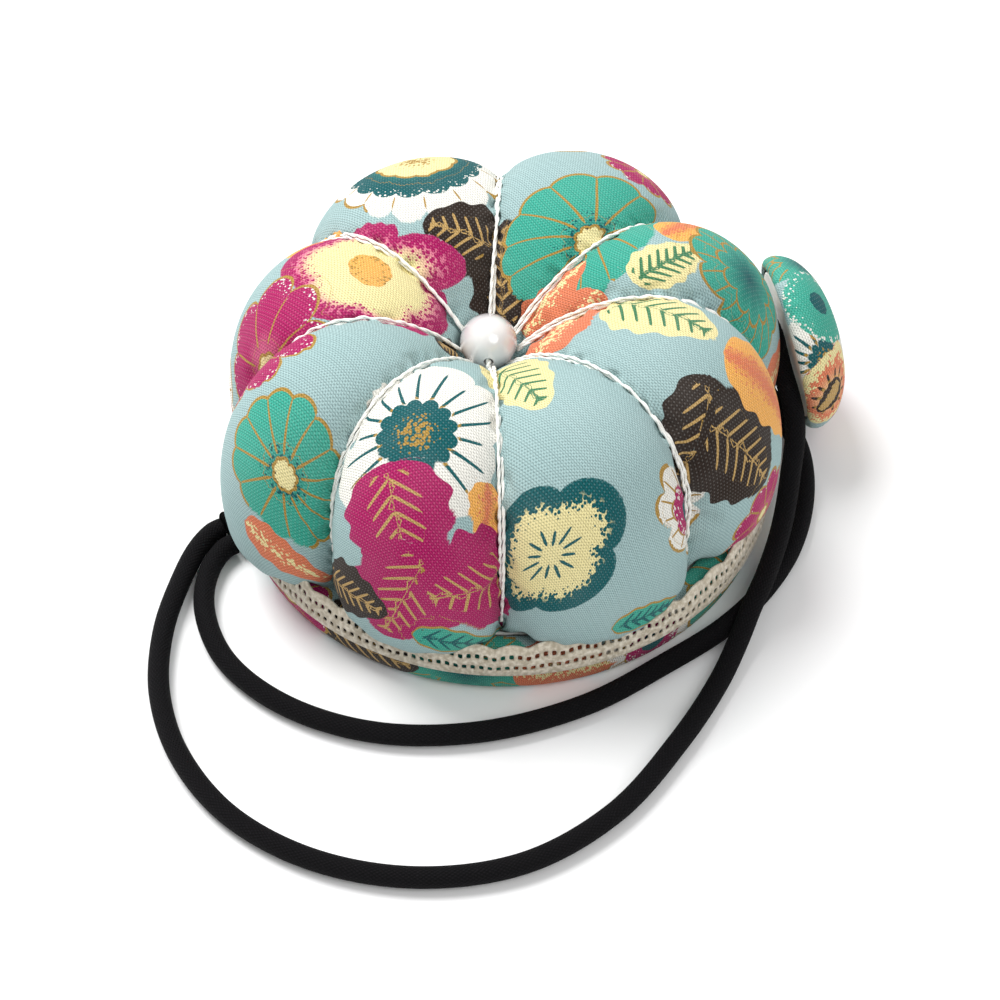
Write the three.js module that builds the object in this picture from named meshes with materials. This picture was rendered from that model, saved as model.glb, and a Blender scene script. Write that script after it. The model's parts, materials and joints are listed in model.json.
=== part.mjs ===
// Pumpkin pin cushion for the wrist: a stuffed cloth ball drawn into eight lobes by thread, a pearl bead
// in its dimple, a covered base with lace round it, and an elastic loop that hooks behind a covered button.
// Millimetres, +Z up. The origin is the centre of the base's flat underside, the front is -Y.
import * as THREE from 'three';

// ---- driving dimensions ------------------------------------------------------------------------------
const GAP = 0.3;                       // air left between pieces that touch
const CLOTH = 0.8;                     // wall of a covered shell
const LOBE_AZIMUTHS = [3, 40, 90, 146, 190, 228, 270, 317];   // the threads between lobes, degrees
const LOBE_STEPS = 6;                  // facets across one lobe
const LOBE_ROUNDNESS = 0.6;            // exponent of the lobe's crown
const CUSHION_RADIUS = 40;
const AXIS_SHIFT = -2;                 // the dimple lies a little left of the base's centre
const BASE_RADIUS = 38;
const BASE_HEIGHT = 8;
const BASE_SEGMENTS = 48;
const THREAD_RADIUS = 0.5;
const THREAD_SIDES = 6;
const CORE_RADIUS = 0.5;
const CORE_HOLE = 0.9;
const BEAD_RADIUS = 4;
const BEAD_BORE = 0.7;
const BEAD_HEIGHT = 31;
const BEAD_THREAD_RADIUS = 0.4;
const LACE_INNER = BASE_RADIUS + 0.35;
const LACE_OUTER = BASE_RADIUS + 0.95;
const LACE_BOTTOM = 4;
const LACE_TOP = 10.2;
const CORD_DIAMETER = 3;
const CORD_SIDES = 8;
const CORD_STEPS = 78;
const BUTTON_AZIMUTH = 22;             // degrees
const BUTTON_TIP = 10;                 // degrees that the button's face looks up
const BUTTON_FACING = 12;              // degrees, a little further forward than where it sits
const STEM_NOSE = 42.04;               // from the centre to where the stem holds the shank
const STEM_HEIGHT = 13.58;
const BUTTON_RADIUS = 13;
const BUTTON_DEPTH = 8;
const BUTTON_SEGMENTS = 28;
const SHANK_WIRE = 0.45;
const SHANK_REACH = 2.4;
const SHANK_HALF = 1.8;
const STEM_HALF = 1.2;
const STEM_ROOT = 39;

// The bar of stitching that holds both ends of the elastic to the side of the base: its azimuth round the
// base, the azimuth that it faces, and the distance of its middle from the centre.
const TAB = { azimuth: 194, facing: 214, reach: 40, depth: 1.2, width: 7.4, bottom: 0.2, top: 3.4 };
// The half circle of elastic round the button's stem: its distance from the centre, height and radius.
const BIGHT = { reach: 41.9, height: 12.2, radius: 6.6 };

// Half sections of the cushion as [radius, height]: over the crown of a lobe, and along a thread.
const CROWN = [[1.2, 26], [3.5, 26.6], [6, 29.6], [9.5, 34], [14, 37.8], [20, 40.4], [27, 40.8],
  [33.5, 37], [38.2, 29.5], [CUSHION_RADIUS, 21], [38.6, 13.5], [34, 9.2], [24, 8.4], [6, 8.4]];
const GROOVE = [[1.2, 26], [3.5, 26.3], [6, 27.5], [9.5, 29.8], [14, 32.4], [19, 34.4], [25, 34.2],
  [29.5, 31], [33, 25.5], [34.4, 19.5], [33.8, 13], [31, 9.4], [24, 8.4], [6, 8.4]];
// How high the thread's centre lies above the groove, near the dimple and at the rim.
const THREAD_LIFT_NEAR = 2.3;
const THREAD_LIFT_FAR = 1.5;
const THREAD_START_RADIUS = 6.7;

// ---- materials ---------------------------------------------------------------------------------------
const MATERIALS = {
  print: { color: 0x8fb9b4, roughness: 0.9, metalness: 0 },
  thread: { color: 0xeeeae2, roughness: 0.7, metalness: 0 },
  lace: { color: 0xcfc5b2, roughness: 0.9, metalness: 0 },
  elastic: { color: 0x0d0b10, roughness: 0.85, metalness: 0 },
  pearl: { color: 0xe6dfe2, roughness: 0.25, metalness: 0 },
  wadding: { color: 0xf2f0ea, roughness: 1, metalness: 0 },
  board: { color: 0xb9b2a4, roughness: 0.9, metalness: 0 },
  wire: { color: 0xb8bbc0, roughness: 0.35, metalness: 1 },
  shell: { color: 0xe4e2dc, roughness: 0.5, metalness: 0 },
};

const model = new THREE.Group();
model.name = 'pin_cushion';

function addPiece(parent, name, geometry, finish) {
  const mesh = new THREE.Mesh(geometry, new THREE.MeshStandardMaterial(MATERIALS[finish]));
  mesh.name = name;
  parent.add(mesh);
  return mesh;
}

// ---- small helpers -----------------------------------------------------------------------------------
const radians = THREE.MathUtils.degToRad;

function latheUpright(profile, segments) {
  const points = profile.map(([r, z]) => new THREE.Vector2(r, z));
  return new THREE.LatheGeometry(points, segments).rotateX(Math.PI / 2);
}

function tubeAlong(points, radius, sides, steps) {
  const section = new THREE.Shape();
  for (let side = 0; side < sides; side += 1) {
    const turn = ((side + 0.5) / sides) * 2 * Math.PI;
    const place = [radius * Math.cos(turn), radius * Math.sin(turn)];
    if (side === 0) section.moveTo(...place);
    else section.lineTo(...place);
  }
  section.closePath();
  const path = new THREE.CatmullRomCurve3(points.map((p) => new THREE.Vector3(...p)));
  return new THREE.ExtrudeGeometry(section, { steps, extrudePath: path, bevelEnabled: false });
}

function discWithHole(radius, holeRadius, bottom, top) {
  const disc = new THREE.Shape().absarc(0, 0, radius, 0, 2 * Math.PI);
  disc.holes.push(new THREE.Path().absarc(AXIS_SHIFT, 0, holeRadius, 0, 2 * Math.PI, true));
  const settings = { depth: top - bottom, bevelEnabled: false, curveSegments: 16 };
  const geometry = new THREE.ExtrudeGeometry(disc, settings);
  return geometry.translate(0, 0, bottom);
}

// The dimple's shift to the left dies away towards the rim.
function axisShift(radius) {
  const inward = Math.max(0, 1 - radius / CUSHION_RADIUS);
  return AXIS_SHIFT * inward ** 1.5;
}

// ---- cushion -----------------------------------------------------------------------------------------
// Azimuth and crown height (0 in a groove, 1 on a crown) of every facet line round the cushion.
function lobeLines() {
  const lines = [];
  LOBE_AZIMUTHS.forEach((from, index) => {
    const next = LOBE_AZIMUTHS[(index + 1) % LOBE_AZIMUTHS.length];
    const span = (next - from + 360) % 360;
    for (let step = 0; step < LOBE_STEPS; step += 1) {
      const across = (2 * step) / LOBE_STEPS - 1;
      lines.push({ azimuth: radians(from + (span * step) / LOBE_STEPS),
        crown: (1 - across * across) ** LOBE_ROUNDNESS });
    }
  });
  return lines;
}

// Moves a closed half section inwards by a wall, point by point along its normals.
function inset(section, wall) {
  return section.map(([r, z], index) => {
    const before = section[Math.max(0, index - 1)];
    const after = section[Math.min(section.length - 1, index + 1)];
    const run = [after[0] - before[0], after[1] - before[1]];
    const length = Math.hypot(...run);
    return [r + (run[1] / length) * wall, z - (run[0] / length) * wall];
  });
}

// A lathe whose rings are pulled into lobes: crownProfile and grooveProfile have the same point count.
function lobedLathe(crownProfile, grooveProfile) {
  const lines = lobeLines();
  const geometry = latheUpright(crownProfile, lines.length);
  const position = geometry.getAttribute('position');
  for (let line = 0; line <= lines.length; line += 1) {
    const { azimuth, crown } = lines[line % lines.length];
    crownProfile.forEach(([crownRadius, crownHeight], point) => {
      const [grooveRadius, grooveHeight] = grooveProfile[point];
      const radius = THREE.MathUtils.lerp(grooveRadius, crownRadius, crown);
      const height = THREE.MathUtils.lerp(grooveHeight, crownHeight, crown);
      position.setXYZ(line * crownProfile.length + point,
        radius * Math.cos(azimuth) + axisShift(radius), radius * Math.sin(azimuth), height);
    });
  }
  return geometry;
}

function closedSection(section, wall, boreRadius) {
  const inner = inset(section, wall).map(([r, z]) => [Math.max(r, boreRadius), z]);
  return [...section, ...inner.reverse(), section[0]].reverse();
}

function addCushion(parent) {
  addPiece(parent, 'cushion_cover',
    lobedLathe(closedSection(CROWN, CLOTH, 1.2), closedSection(GROOVE, CLOTH, 1.2)), 'print');
  const depth = CLOTH + 3 * GAP;
  const bored = (section) => {
    const body = inset(section, depth).map(([r, z]) => [Math.max(r, CORE_HOLE), z]);
    body[0][0] = CORE_HOLE;
    body.push([CORE_HOLE, body[body.length - 1][1]]);
    return [...body, body[0]].reverse();
  };
  addPiece(parent, 'cushion_filling', lobedLathe(bored(CROWN), bored(GROOVE)), 'wadding');
}

function addLobeThreads(parent) {
  const route = GROOVE.slice(2, 11).map(([grooveRadius], index) => {
    const farness = THREE.MathUtils.clamp((grooveRadius - 14) / 14, 0, 1);
    return inset(GROOVE, -THREE.MathUtils.lerp(THREAD_LIFT_NEAR, THREAD_LIFT_FAR, farness))[index + 2];
  });
  route[0] = [THREAD_START_RADIUS, (route[0][1] + route[1][1]) / 2];
  LOBE_AZIMUTHS.forEach((degrees, index) => {
    const azimuth = radians(degrees);
    const points = route.map(([r, z]) => [r * Math.cos(azimuth) + axisShift(r), r * Math.sin(azimuth), z]);
    const strand = tubeAlong(points, THREAD_RADIUS, THREAD_SIDES, 12);
    addPiece(parent, `lobe_thread_${index + 1}`, strand, 'thread');
  });
}

function addCoreThread(parent) {
  const knotBottom = CLOTH + GAP;
  const knotTop = knotBottom + 1.2;
  const knotSide = [[1.1, knotBottom], [1.5, 1.6], [1.1, knotTop]];
  const knot = latheUpright([[0, knotBottom], ...knotSide, [0, knotTop]], 12);
  addPiece(parent, 'core_knot', knot.translate(AXIS_SHIFT, 0, 0), 'thread');
  const threadBottom = knotTop + GAP;
  const threadTop = BEAD_HEIGHT - BEAD_RADIUS - 0.6;
  const thread = new THREE.CylinderGeometry(CORE_RADIUS, CORE_RADIUS, threadTop - threadBottom, 8);
  thread.rotateX(Math.PI / 2).translate(AXIS_SHIFT, 0, (threadTop + threadBottom) / 2);
  addPiece(parent, 'core_thread', thread, 'thread');
}

function addBead(parent) {
  const halfBore = Math.sqrt(BEAD_RADIUS ** 2 - BEAD_BORE ** 2);
  const arcSteps = 12;
  const first = Math.atan2(-halfBore, BEAD_BORE);
  const profile = [];
  for (let step = 0; step <= arcSteps; step += 1) {
    const turn = first - (2 * first * step) / arcSteps;
    profile.push(new THREE.Vector2(BEAD_RADIUS * Math.cos(turn), BEAD_RADIUS * Math.sin(turn)));
  }
  profile.push(profile[0].clone());
  const bead = new THREE.LatheGeometry(profile, 24);
  addPiece(parent, 'pearl_bead', bead.translate(AXIS_SHIFT, 0, BEAD_HEIGHT), 'pearl');

  const side = BEAD_RADIUS + BEAD_THREAD_RADIUS + 0.35;
  const half = [
    [side, 28.4], [side, 29.8], [side - 0.15, 30.6], [side - 0.8, BEAD_HEIGHT], [1.5, BEAD_HEIGHT],
  ];
  const points = [...half, ...half.map(([y, z]) => [-y, z]).reverse()].map(([y, z]) => [AXIS_SHIFT, y, z]);
  addPiece(parent, 'bead_thread', tubeAlong(points, BEAD_THREAD_RADIUS, THREAD_SIDES, 24), 'thread');
}

// ---- base --------------------------------------------------------------------------------------------
// A cloth cup drawn in over a board, with wadding above the board and a felt underlay beneath it.
function addBase(parent) {
  const wall = BASE_RADIUS - CLOTH;
  const cover = [[0, 0], [36.4, 0], [37.6, 0.7], [BASE_RADIUS, 2], [BASE_RADIUS, 6.4], [37.3, 7.7],
    [34, BASE_HEIGHT], [34, 7.3], [36.6, 7.1], [wall, 6.2], [wall, 2.2], [36.9, 1.2], [36.2, CLOTH],
    [0, CLOTH]];
  addPiece(parent, 'base_cover', latheUpright(cover, BASE_SEGMENTS), 'print');
  const inside = wall - 1.2;
  addPiece(parent, 'base_underlay', discWithHole(inside, 2.2, 1.1, 2.3), 'wadding');
  addPiece(parent, 'base_board', discWithHole(inside, CORE_HOLE, 2.6, 4.2), 'board');
  addPiece(parent, 'base_wadding', discWithHole(inside, CORE_HOLE, 4.5, 6.7), 'wadding');
}

// The running stitch that draws in the cup's edge.
function addGatherThread(parent) {
  const [inner, outer, bottom, top] = [33.1, 33.7, 7.3, 7.9];
  const ring = [[inner, bottom], [outer, bottom], [outer, top], [inner, top], [inner, bottom]];
  addPiece(parent, 'gather_thread', latheUpright(ring, BASE_SEGMENTS), 'thread');
}

function addLace(parent) {
  const band = [[LACE_INNER, LACE_BOTTOM], [LACE_OUTER, LACE_BOTTOM], [LACE_OUTER, LACE_TOP],
    [LACE_INNER, LACE_TOP], [LACE_INNER, LACE_BOTTOM]];
  addPiece(parent, 'lace_trim', latheUpright(band, BASE_SEGMENTS), 'lace');
}

// ---- elastic loop ------------------------------------------------------------------------------------
// A point given outwards from the tab's middle and sideways along it.
function tabPoint(outward, sideways) {
  const place = radians(TAB.azimuth);
  const face = radians(TAB.facing);
  return [TAB.reach * Math.cos(place) + outward * Math.cos(face) - sideways * Math.sin(face),
    TAB.reach * Math.sin(place) + outward * Math.sin(face) + sideways * Math.cos(face)];
}

function addCordTab(parent) {
  const bar = new THREE.BoxGeometry(TAB.depth, TAB.width, TAB.top - TAB.bottom);
  const mesh = addPiece(parent, 'elastic_tab', bar, 'elastic');
  mesh.rotation.z = radians(TAB.facing);
  mesh.position.set(...tabPoint(0, 0), (TAB.top + TAB.bottom) / 2);
}

// A point on the bight, from -90 degrees under the stem, round behind it, to 90 degrees over it.
function bightPoint(turnDegrees) {
  const turn = radians(turnDegrees);
  const azimuth = radians(BUTTON_AZIMUTH);
  const behind = BIGHT.radius * Math.cos(turn);
  return [BIGHT.reach * Math.cos(azimuth) - behind * Math.sin(azimuth),
    BIGHT.reach * Math.sin(azimuth) + behind * Math.cos(azimuth),
    BIGHT.height + BIGHT.radius * Math.sin(turn)];
}

function cordRoute() {
  const floor = CORD_DIAMETER / 2 + 0.1;
  const endReach = TAB.depth / 2 + GAP;
  const endSide = 1.8;
  return [
    // out of the tab and round the front, close to the base
    [...tabPoint(endReach, endSide), floor], [...tabPoint(endReach + 1.5, endSide), floor],
    [-41.8, -16.6, floor], [-42.2, -23.8, floor],
    [-38.7, -33.2, floor], [-30, -41.3, floor], [-17.5, -46, floor], [-3, -45.9, floor],
    [11.4, -41.2, floor], [23, -33.6, floor],
    // along the right side and up to the stem from below
    [31, -27.4, floor], [36.8, -20.8, floor], [41.4, -12.6, floor], [43.8, -3.5, floor],
    [44, 5, 1.8], [42, 11.2, 3.1],
    bightPoint(-90), bightPoint(-30), bightPoint(30), bightPoint(90),
    // forwards from over the stem, down the side and over the first strand
    [40.5, 10, 15.8], [42.3, 3.4, 11.2], [41.4, -4, 7.6], [39.7, -12.5, 5.8],
    [37, -21, 5.1], [35.1, -25.4, 4.4], [32.9, -30.6, 2.6],
    // the wide loop in front, back to the tab
    [30, -37, floor], [24.2, -47.3, floor], [15, -59.6, floor], [3, -67.8, floor],
    [-11, -70.2, floor], [-25, -67.4, floor], [-36.5, -60.2, floor], [-44, -50, floor],
    [-47.5, -39, floor], [-47.7, -28, floor], [-45.8, -18.6, floor], [-43.8, -12.6, floor],
    [...tabPoint(endReach + 1.5, -endSide), floor], [...tabPoint(endReach, -endSide), floor],
  ];
}

function addElastic(parent) {
  const cord = tubeAlong(cordRoute(), CORD_DIAMETER / 2, CORD_SIDES, CORD_STEPS);
  addPiece(parent, 'elastic_cord', cord, 'elastic');
}

// ---- button ------------------------------------------------------------------------------------------
// The button's pieces are turned about +Y and then laid along its own axis, which looks outwards.
function latheOnButton(profile) {
  return new THREE.LatheGeometry(profile.map(([r, x]) => new THREE.Vector2(r, x)), BUTTON_SEGMENTS)
    .rotateZ(-Math.PI / 2);
}

function addButton(parent) {
  const outward = new THREE.Group();
  outward.rotation.z = radians(BUTTON_AZIMUTH);
  const button = new THREE.Group();
  const tip = radians(BUTTON_TIP);
  const turned = radians(BUTTON_FACING - BUTTON_AZIMUTH);
  const shankRun = SHANK_REACH * Math.cos(tip);
  button.position.set(STEM_NOSE + shankRun * Math.cos(turned), shankRun * Math.sin(turned),
    STEM_HEIGHT + SHANK_REACH * Math.sin(tip));
  button.rotation.set(0, -tip, turned, 'ZYX');
  outward.add(button);
  parent.add(outward);

  const rim = BUTTON_RADIUS;
  const top = BUTTON_DEPTH;
  addPiece(button, 'button_cover', latheOnButton([[0, top], [4.5, top - 0.3], [8.5, top - 1.4], [11.5, 4.8],
    [12.8, 2.6], [rim, 1.4], [12.6, 0.3], [11.6, 0], [11.5, 0.5], [12.2, 0.9], [12.4, 1.5], [12.2, 2.5],
    [11, 4.4], [8.2, 6], [4.4, 7.1], [0, 7.4]].reverse()), 'print');
  addPiece(button, 'button_shell', latheOnButton([[0, 7], [4.3, 6.7], [8, 5.6], [10.6, 4.1], [11.8, 2.3],
    [11.9, 1.5], [11.1, 1.5], [11, 2.1], [10, 3.5], [7.6, 4.9], [4.1, 5.9], [0, 6.2]].reverse()), 'shell');
  const back = latheOnButton([[0, 0.1], [10.6, 0.1], [11.1, 0.4], [11.1, 1.1], [0, 1.1]]);
  addPiece(button, 'button_back', back, 'shell');

  const wirePoints = [];
  const wireSteps = 8;
  for (let step = 0; step <= wireSteps; step += 1) {
    const turn = (Math.PI * step) / wireSteps;
    wirePoints.push([-0.2 - (SHANK_REACH - 0.2) * Math.sin(turn), 0, SHANK_HALF * Math.cos(turn)]);
  }
  addPiece(button, 'button_shank', tubeAlong(wirePoints, SHANK_WIRE, THREAD_SIDES, 14), 'wire');

  // A doubled thread from the side of the cushion, looped through the shank.
  const middle = (STEM_ROOT + STEM_NOSE) / 2;
  const stem = [[STEM_ROOT, STEM_HALF], [middle, STEM_HALF]];
  const bendSteps = 6;
  for (let step = 0; step <= bendSteps; step += 1) {
    const turn = Math.PI / 2 - (Math.PI * step) / bendSteps;
    stem.push([STEM_NOSE + STEM_HALF * Math.cos(turn), STEM_HALF * Math.sin(turn)]);
  }
  stem.push([middle, -STEM_HALF], [STEM_ROOT, -STEM_HALF]);
  addPiece(outward, 'button_stem_thread',
    tubeAlong(stem.map(([x, y]) => [x, y, STEM_HEIGHT]), SHANK_WIRE, THREAD_SIDES, 22), 'thread');
}

// ---- assembly ----------------------------------------------------------------------------------------
addBase(model);
addGatherThread(model);
addCushion(model);
addLobeThreads(model);
addCoreThread(model);
addBead(model);
addLace(model);
addCordTab(model);
addElastic(model);
addButton(model);

export default model;
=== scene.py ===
"""Wrist pin cushion: the finished cloth, thread, lace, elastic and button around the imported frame.

Everything is in metres in the frame's axes: +Z up, the front at -Y. Sizes in the tables below are in
millimetres, the unit that a maker works in, and are multiplied by MM where a mesh is made.
"""
import json
import math

import bpy
import numpy as np
from mathutils import Matrix, Vector


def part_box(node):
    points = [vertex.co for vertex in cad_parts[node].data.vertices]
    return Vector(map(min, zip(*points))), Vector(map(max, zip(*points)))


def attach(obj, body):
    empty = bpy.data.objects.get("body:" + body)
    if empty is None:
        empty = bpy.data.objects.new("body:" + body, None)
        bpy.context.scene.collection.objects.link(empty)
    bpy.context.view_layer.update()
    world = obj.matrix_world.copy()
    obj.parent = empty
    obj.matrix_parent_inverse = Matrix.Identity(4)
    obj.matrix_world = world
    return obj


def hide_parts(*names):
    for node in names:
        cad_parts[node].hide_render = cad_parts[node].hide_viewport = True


bl_info = {
    "name": "Wrist Pin Cushion",
    "version": (1, 0, 0),
    "blender": (4, 5, 0),
    "location": "3D View > Sidebar > Pin Cushion",
    "description": "Builds the cloth, thread, lace, elastic and button of a wrist pin cushion",
    "category": "Object",
}

MM = 0.001
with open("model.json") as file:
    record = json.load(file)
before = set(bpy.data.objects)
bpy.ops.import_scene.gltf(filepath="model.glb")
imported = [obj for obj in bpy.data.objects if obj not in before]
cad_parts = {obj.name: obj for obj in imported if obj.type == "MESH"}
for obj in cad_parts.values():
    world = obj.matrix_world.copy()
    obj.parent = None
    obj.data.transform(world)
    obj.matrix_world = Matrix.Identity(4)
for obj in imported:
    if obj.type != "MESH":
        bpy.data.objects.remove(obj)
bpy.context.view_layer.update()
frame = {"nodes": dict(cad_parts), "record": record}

# ---- measures of the frame ---------------------------------------------------------------------------
BEAD_LOW, BEAD_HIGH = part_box("pearl_bead")
BEAD_CENTRE = [(low + high) / 2 / MM for low, high in zip(BEAD_LOW, BEAD_HIGH)]
BEAD_RADIUS = (BEAD_HIGH[0] - BEAD_LOW[0]) / 2 / MM
AXIS_SHIFT = BEAD_CENTRE[0]
LOBE_AZIMUTHS = (3, 40, 90, 146, 190, 228, 270, 317)
LOBES = len(LOBE_AZIMUTHS)
JOINTS = {joint["name"]: joint for joint in frame["record"]["behaviour"]["joints"]}
BUTTON_AXIS = Vector(JOINTS["button_turn"]["axis"]).normalized()
BUTTON_SEAT = Vector(JOINTS["button_turn"]["pos_m"])
STEM_AZIMUTH = math.radians(22)        # where the button's stem leaves the cushion


def box_of(node):
    """The lowest and highest corners of one of the frame's nodes, in millimetres."""
    return [np.array(corner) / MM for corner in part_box(node)]


# ---- colours, as a dyer would name them, in display values 0 to 255 ----------------------------------
INKS = {
    "sky": (163, 192, 192), "magenta": (176, 24, 98), "pink": (224, 120, 150), "teal": (62, 172, 150),
    "deep_teal": (6, 92, 96), "cream": (243, 230, 168), "white": (243, 241, 232), "gold": (178, 140, 62),
    "umber": (46, 34, 26), "tan": (196, 160, 98), "coral": (228, 128, 90), "amber": (250, 182, 92),
    "leaf": (70, 130, 90),
}


def linear(rgb):
    """Display values 0 to 255 as linear light."""
    share = np.asarray(rgb, float) / 255
    return np.where(share <= 0.04045, share / 12.92, ((share + 0.055) / 1.055) ** 2.4)


def ink(name):
    return linear(INKS[name])


# ---- curves in space ---------------------------------------------------------------------------------
def knots_of(points):
    """Centripetal parameters of a list of points, with one point added before and one after."""
    points = np.asarray(points, float)
    ends = [2 * points[0] - points[1], *points, 2 * points[-1] - points[-2]]
    points = np.array(ends)
    gaps = np.linalg.norm(np.diff(points, axis=0), axis=1) ** 0.5
    return points, np.concatenate([[0], np.cumsum(gaps)])


def smooth_curve(points, per_span=12):
    """A centripetal Catmull-Rom curve through points, as many samples long as the spans ask for."""
    points, knots = knots_of(points)
    samples = []
    for i in range(1, len(points) - 2):
        k = knots[i - 1:i + 3]
        p = points[i - 1:i + 3]
        t = np.linspace(k[1], k[2], per_span, endpoint=False)[:, None]
        a = [(k[j + 1] - t) / (k[j + 1] - k[j]) * p[j] + (t - k[j]) / (k[j + 1] - k[j]) * p[j + 1]
             for j in range(3)]
        b = [(k[j + 2] - t) / (k[j + 2] - k[j]) * a[j] + (t - k[j]) / (k[j + 2] - k[j]) * a[j + 1]
             for j in range(2)]
        samples.append((k[2] - t) / (k[2] - k[1]) * b[0] + (t - k[1]) / (k[2] - k[1]) * b[1])
    samples.append(points[-2][None, :])
    return np.concatenate(samples)


def evenly(points, count):
    """The same polyline, resampled to count points that are equally far apart."""
    run = np.concatenate([[0], np.cumsum(np.linalg.norm(np.diff(points, axis=0), axis=1))])
    stops = np.linspace(0, run[-1], count)
    return np.stack([np.interp(stops, run, points[:, axis]) for axis in range(points.shape[1])], 1), run[-1]


def stepped(points, step):
    """The same polyline with its points about a step apart, and its length."""
    _, length = evenly(points, 2)
    path, _ = evenly(points, int(length / step))
    return path, length


def frames_along(path):
    """Two unit vectors across the path at each point, carried along it without twisting."""
    tangents = np.gradient(path, axis=0)
    tangents /= np.linalg.norm(tangents, axis=1)[:, None]
    side = np.cross(tangents[0], (0, 0, 1))
    if np.linalg.norm(side) < 0.1:
        side = np.cross(tangents[0], (0, 1, 0))
    sides = []
    for tangent in tangents:
        side = side - tangent * side.dot(tangent)
        side = side / np.linalg.norm(side)
        sides.append(side)
    sides = np.array(sides)
    return sides, np.cross(tangents, sides)


# ---- meshes ------------------------------------------------------------------------------------------
def mesh_piece(name, points, faces, uvs=None):
    """An object from points in millimetres; uvs hold one pair for each point."""
    mesh = bpy.data.meshes.new(name)
    mesh.from_pydata((np.asarray(points) * MM).tolist(), [], faces)
    if uvs is not None:
        layer = mesh.uv_layers.new(name="cloth")
        corners = np.empty(len(mesh.loops), np.int32)
        mesh.loops.foreach_get("vertex_index", corners)
        layer.data.foreach_set("uv", np.asarray(uvs, np.float32)[corners].ravel())
    mesh.polygons.foreach_set("use_smooth", [True] * len(mesh.polygons))
    mesh.update()
    piece = bpy.data.objects.new(name, mesh)
    bpy.context.collection.objects.link(piece)
    return piece


def grid_faces(rows, columns):
    """Quads of a grid closed round its columns, whose point index is row * columns + column."""
    faces = []
    for here in range(0, (rows - 1) * columns, columns):
        for column in range(columns):
            after = (column + 1) % columns
            faces.append((here + column, here + after, here + columns + after, here + columns + column))
    return faces


def tube_parts(path, radius, sides, first=0):
    """Points and faces of a closed round tube along a path, with its point numbers starting at first."""
    across, up = frames_along(path)
    turns = np.linspace(0, 2 * math.pi, sides, endpoint=False)
    ring = np.cos(turns)[None, :, None] * across[:, None, :] + np.sin(turns)[None, :, None] * up[:, None, :]
    points = (path[:, None, :] + radius * ring).reshape(-1, 3)
    faces = [tuple(first + corner for corner in face) for face in grid_faces(len(path), sides)]
    last = first + (len(path) - 1) * sides
    faces.append(tuple(first + corner for corner in reversed(range(sides))))
    faces.append(tuple(last + corner for corner in range(sides)))
    return points, faces


def strand_piece(name, paths, radius, sides=7):
    """One object from several closed round strands."""
    points, faces, count = [], [], 0
    for path in paths:
        part_points, part_faces = tube_parts(path, radius, sides, count)
        points.append(part_points)
        faces += part_faces
        count += len(part_points)
    return mesh_piece(name, np.concatenate(points), faces)


def twisted(path, strands, offset, pitch, phase=0.0):
    """Paths of strands laid round a centre path, one turn in each pitch."""
    across, up = frames_along(path)
    run = np.concatenate([[0], np.cumsum(np.linalg.norm(np.diff(path, axis=0), axis=1))])
    paths = []
    for strand in range(strands):
        turn = 2 * math.pi * (run / pitch + strand / strands) + phase
        paths.append(path + offset * (np.cos(turn)[:, None] * across + np.sin(turn)[:, None] * up))
    return paths


def apply_modifiers(piece):
    bpy.ops.object.select_all(action="DESELECT")
    piece.select_set(True)
    bpy.context.view_layer.objects.active = piece
    for modifier in list(piece.modifiers):
        bpy.ops.object.modifier_apply(modifier=modifier.name)


def wear(piece, slot):
    """Gives a piece the material of a slot, and no other."""
    piece.data.materials.clear()
    piece.data.materials.append(material(slot))


def finish_piece(piece, body, slot, *nodes):
    """Gives a piece the material of its slot and its body, and hides the frame's nodes that it stands for."""
    wear(piece, slot)
    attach(piece, body)
    if nodes:
        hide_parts(*nodes)


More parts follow.
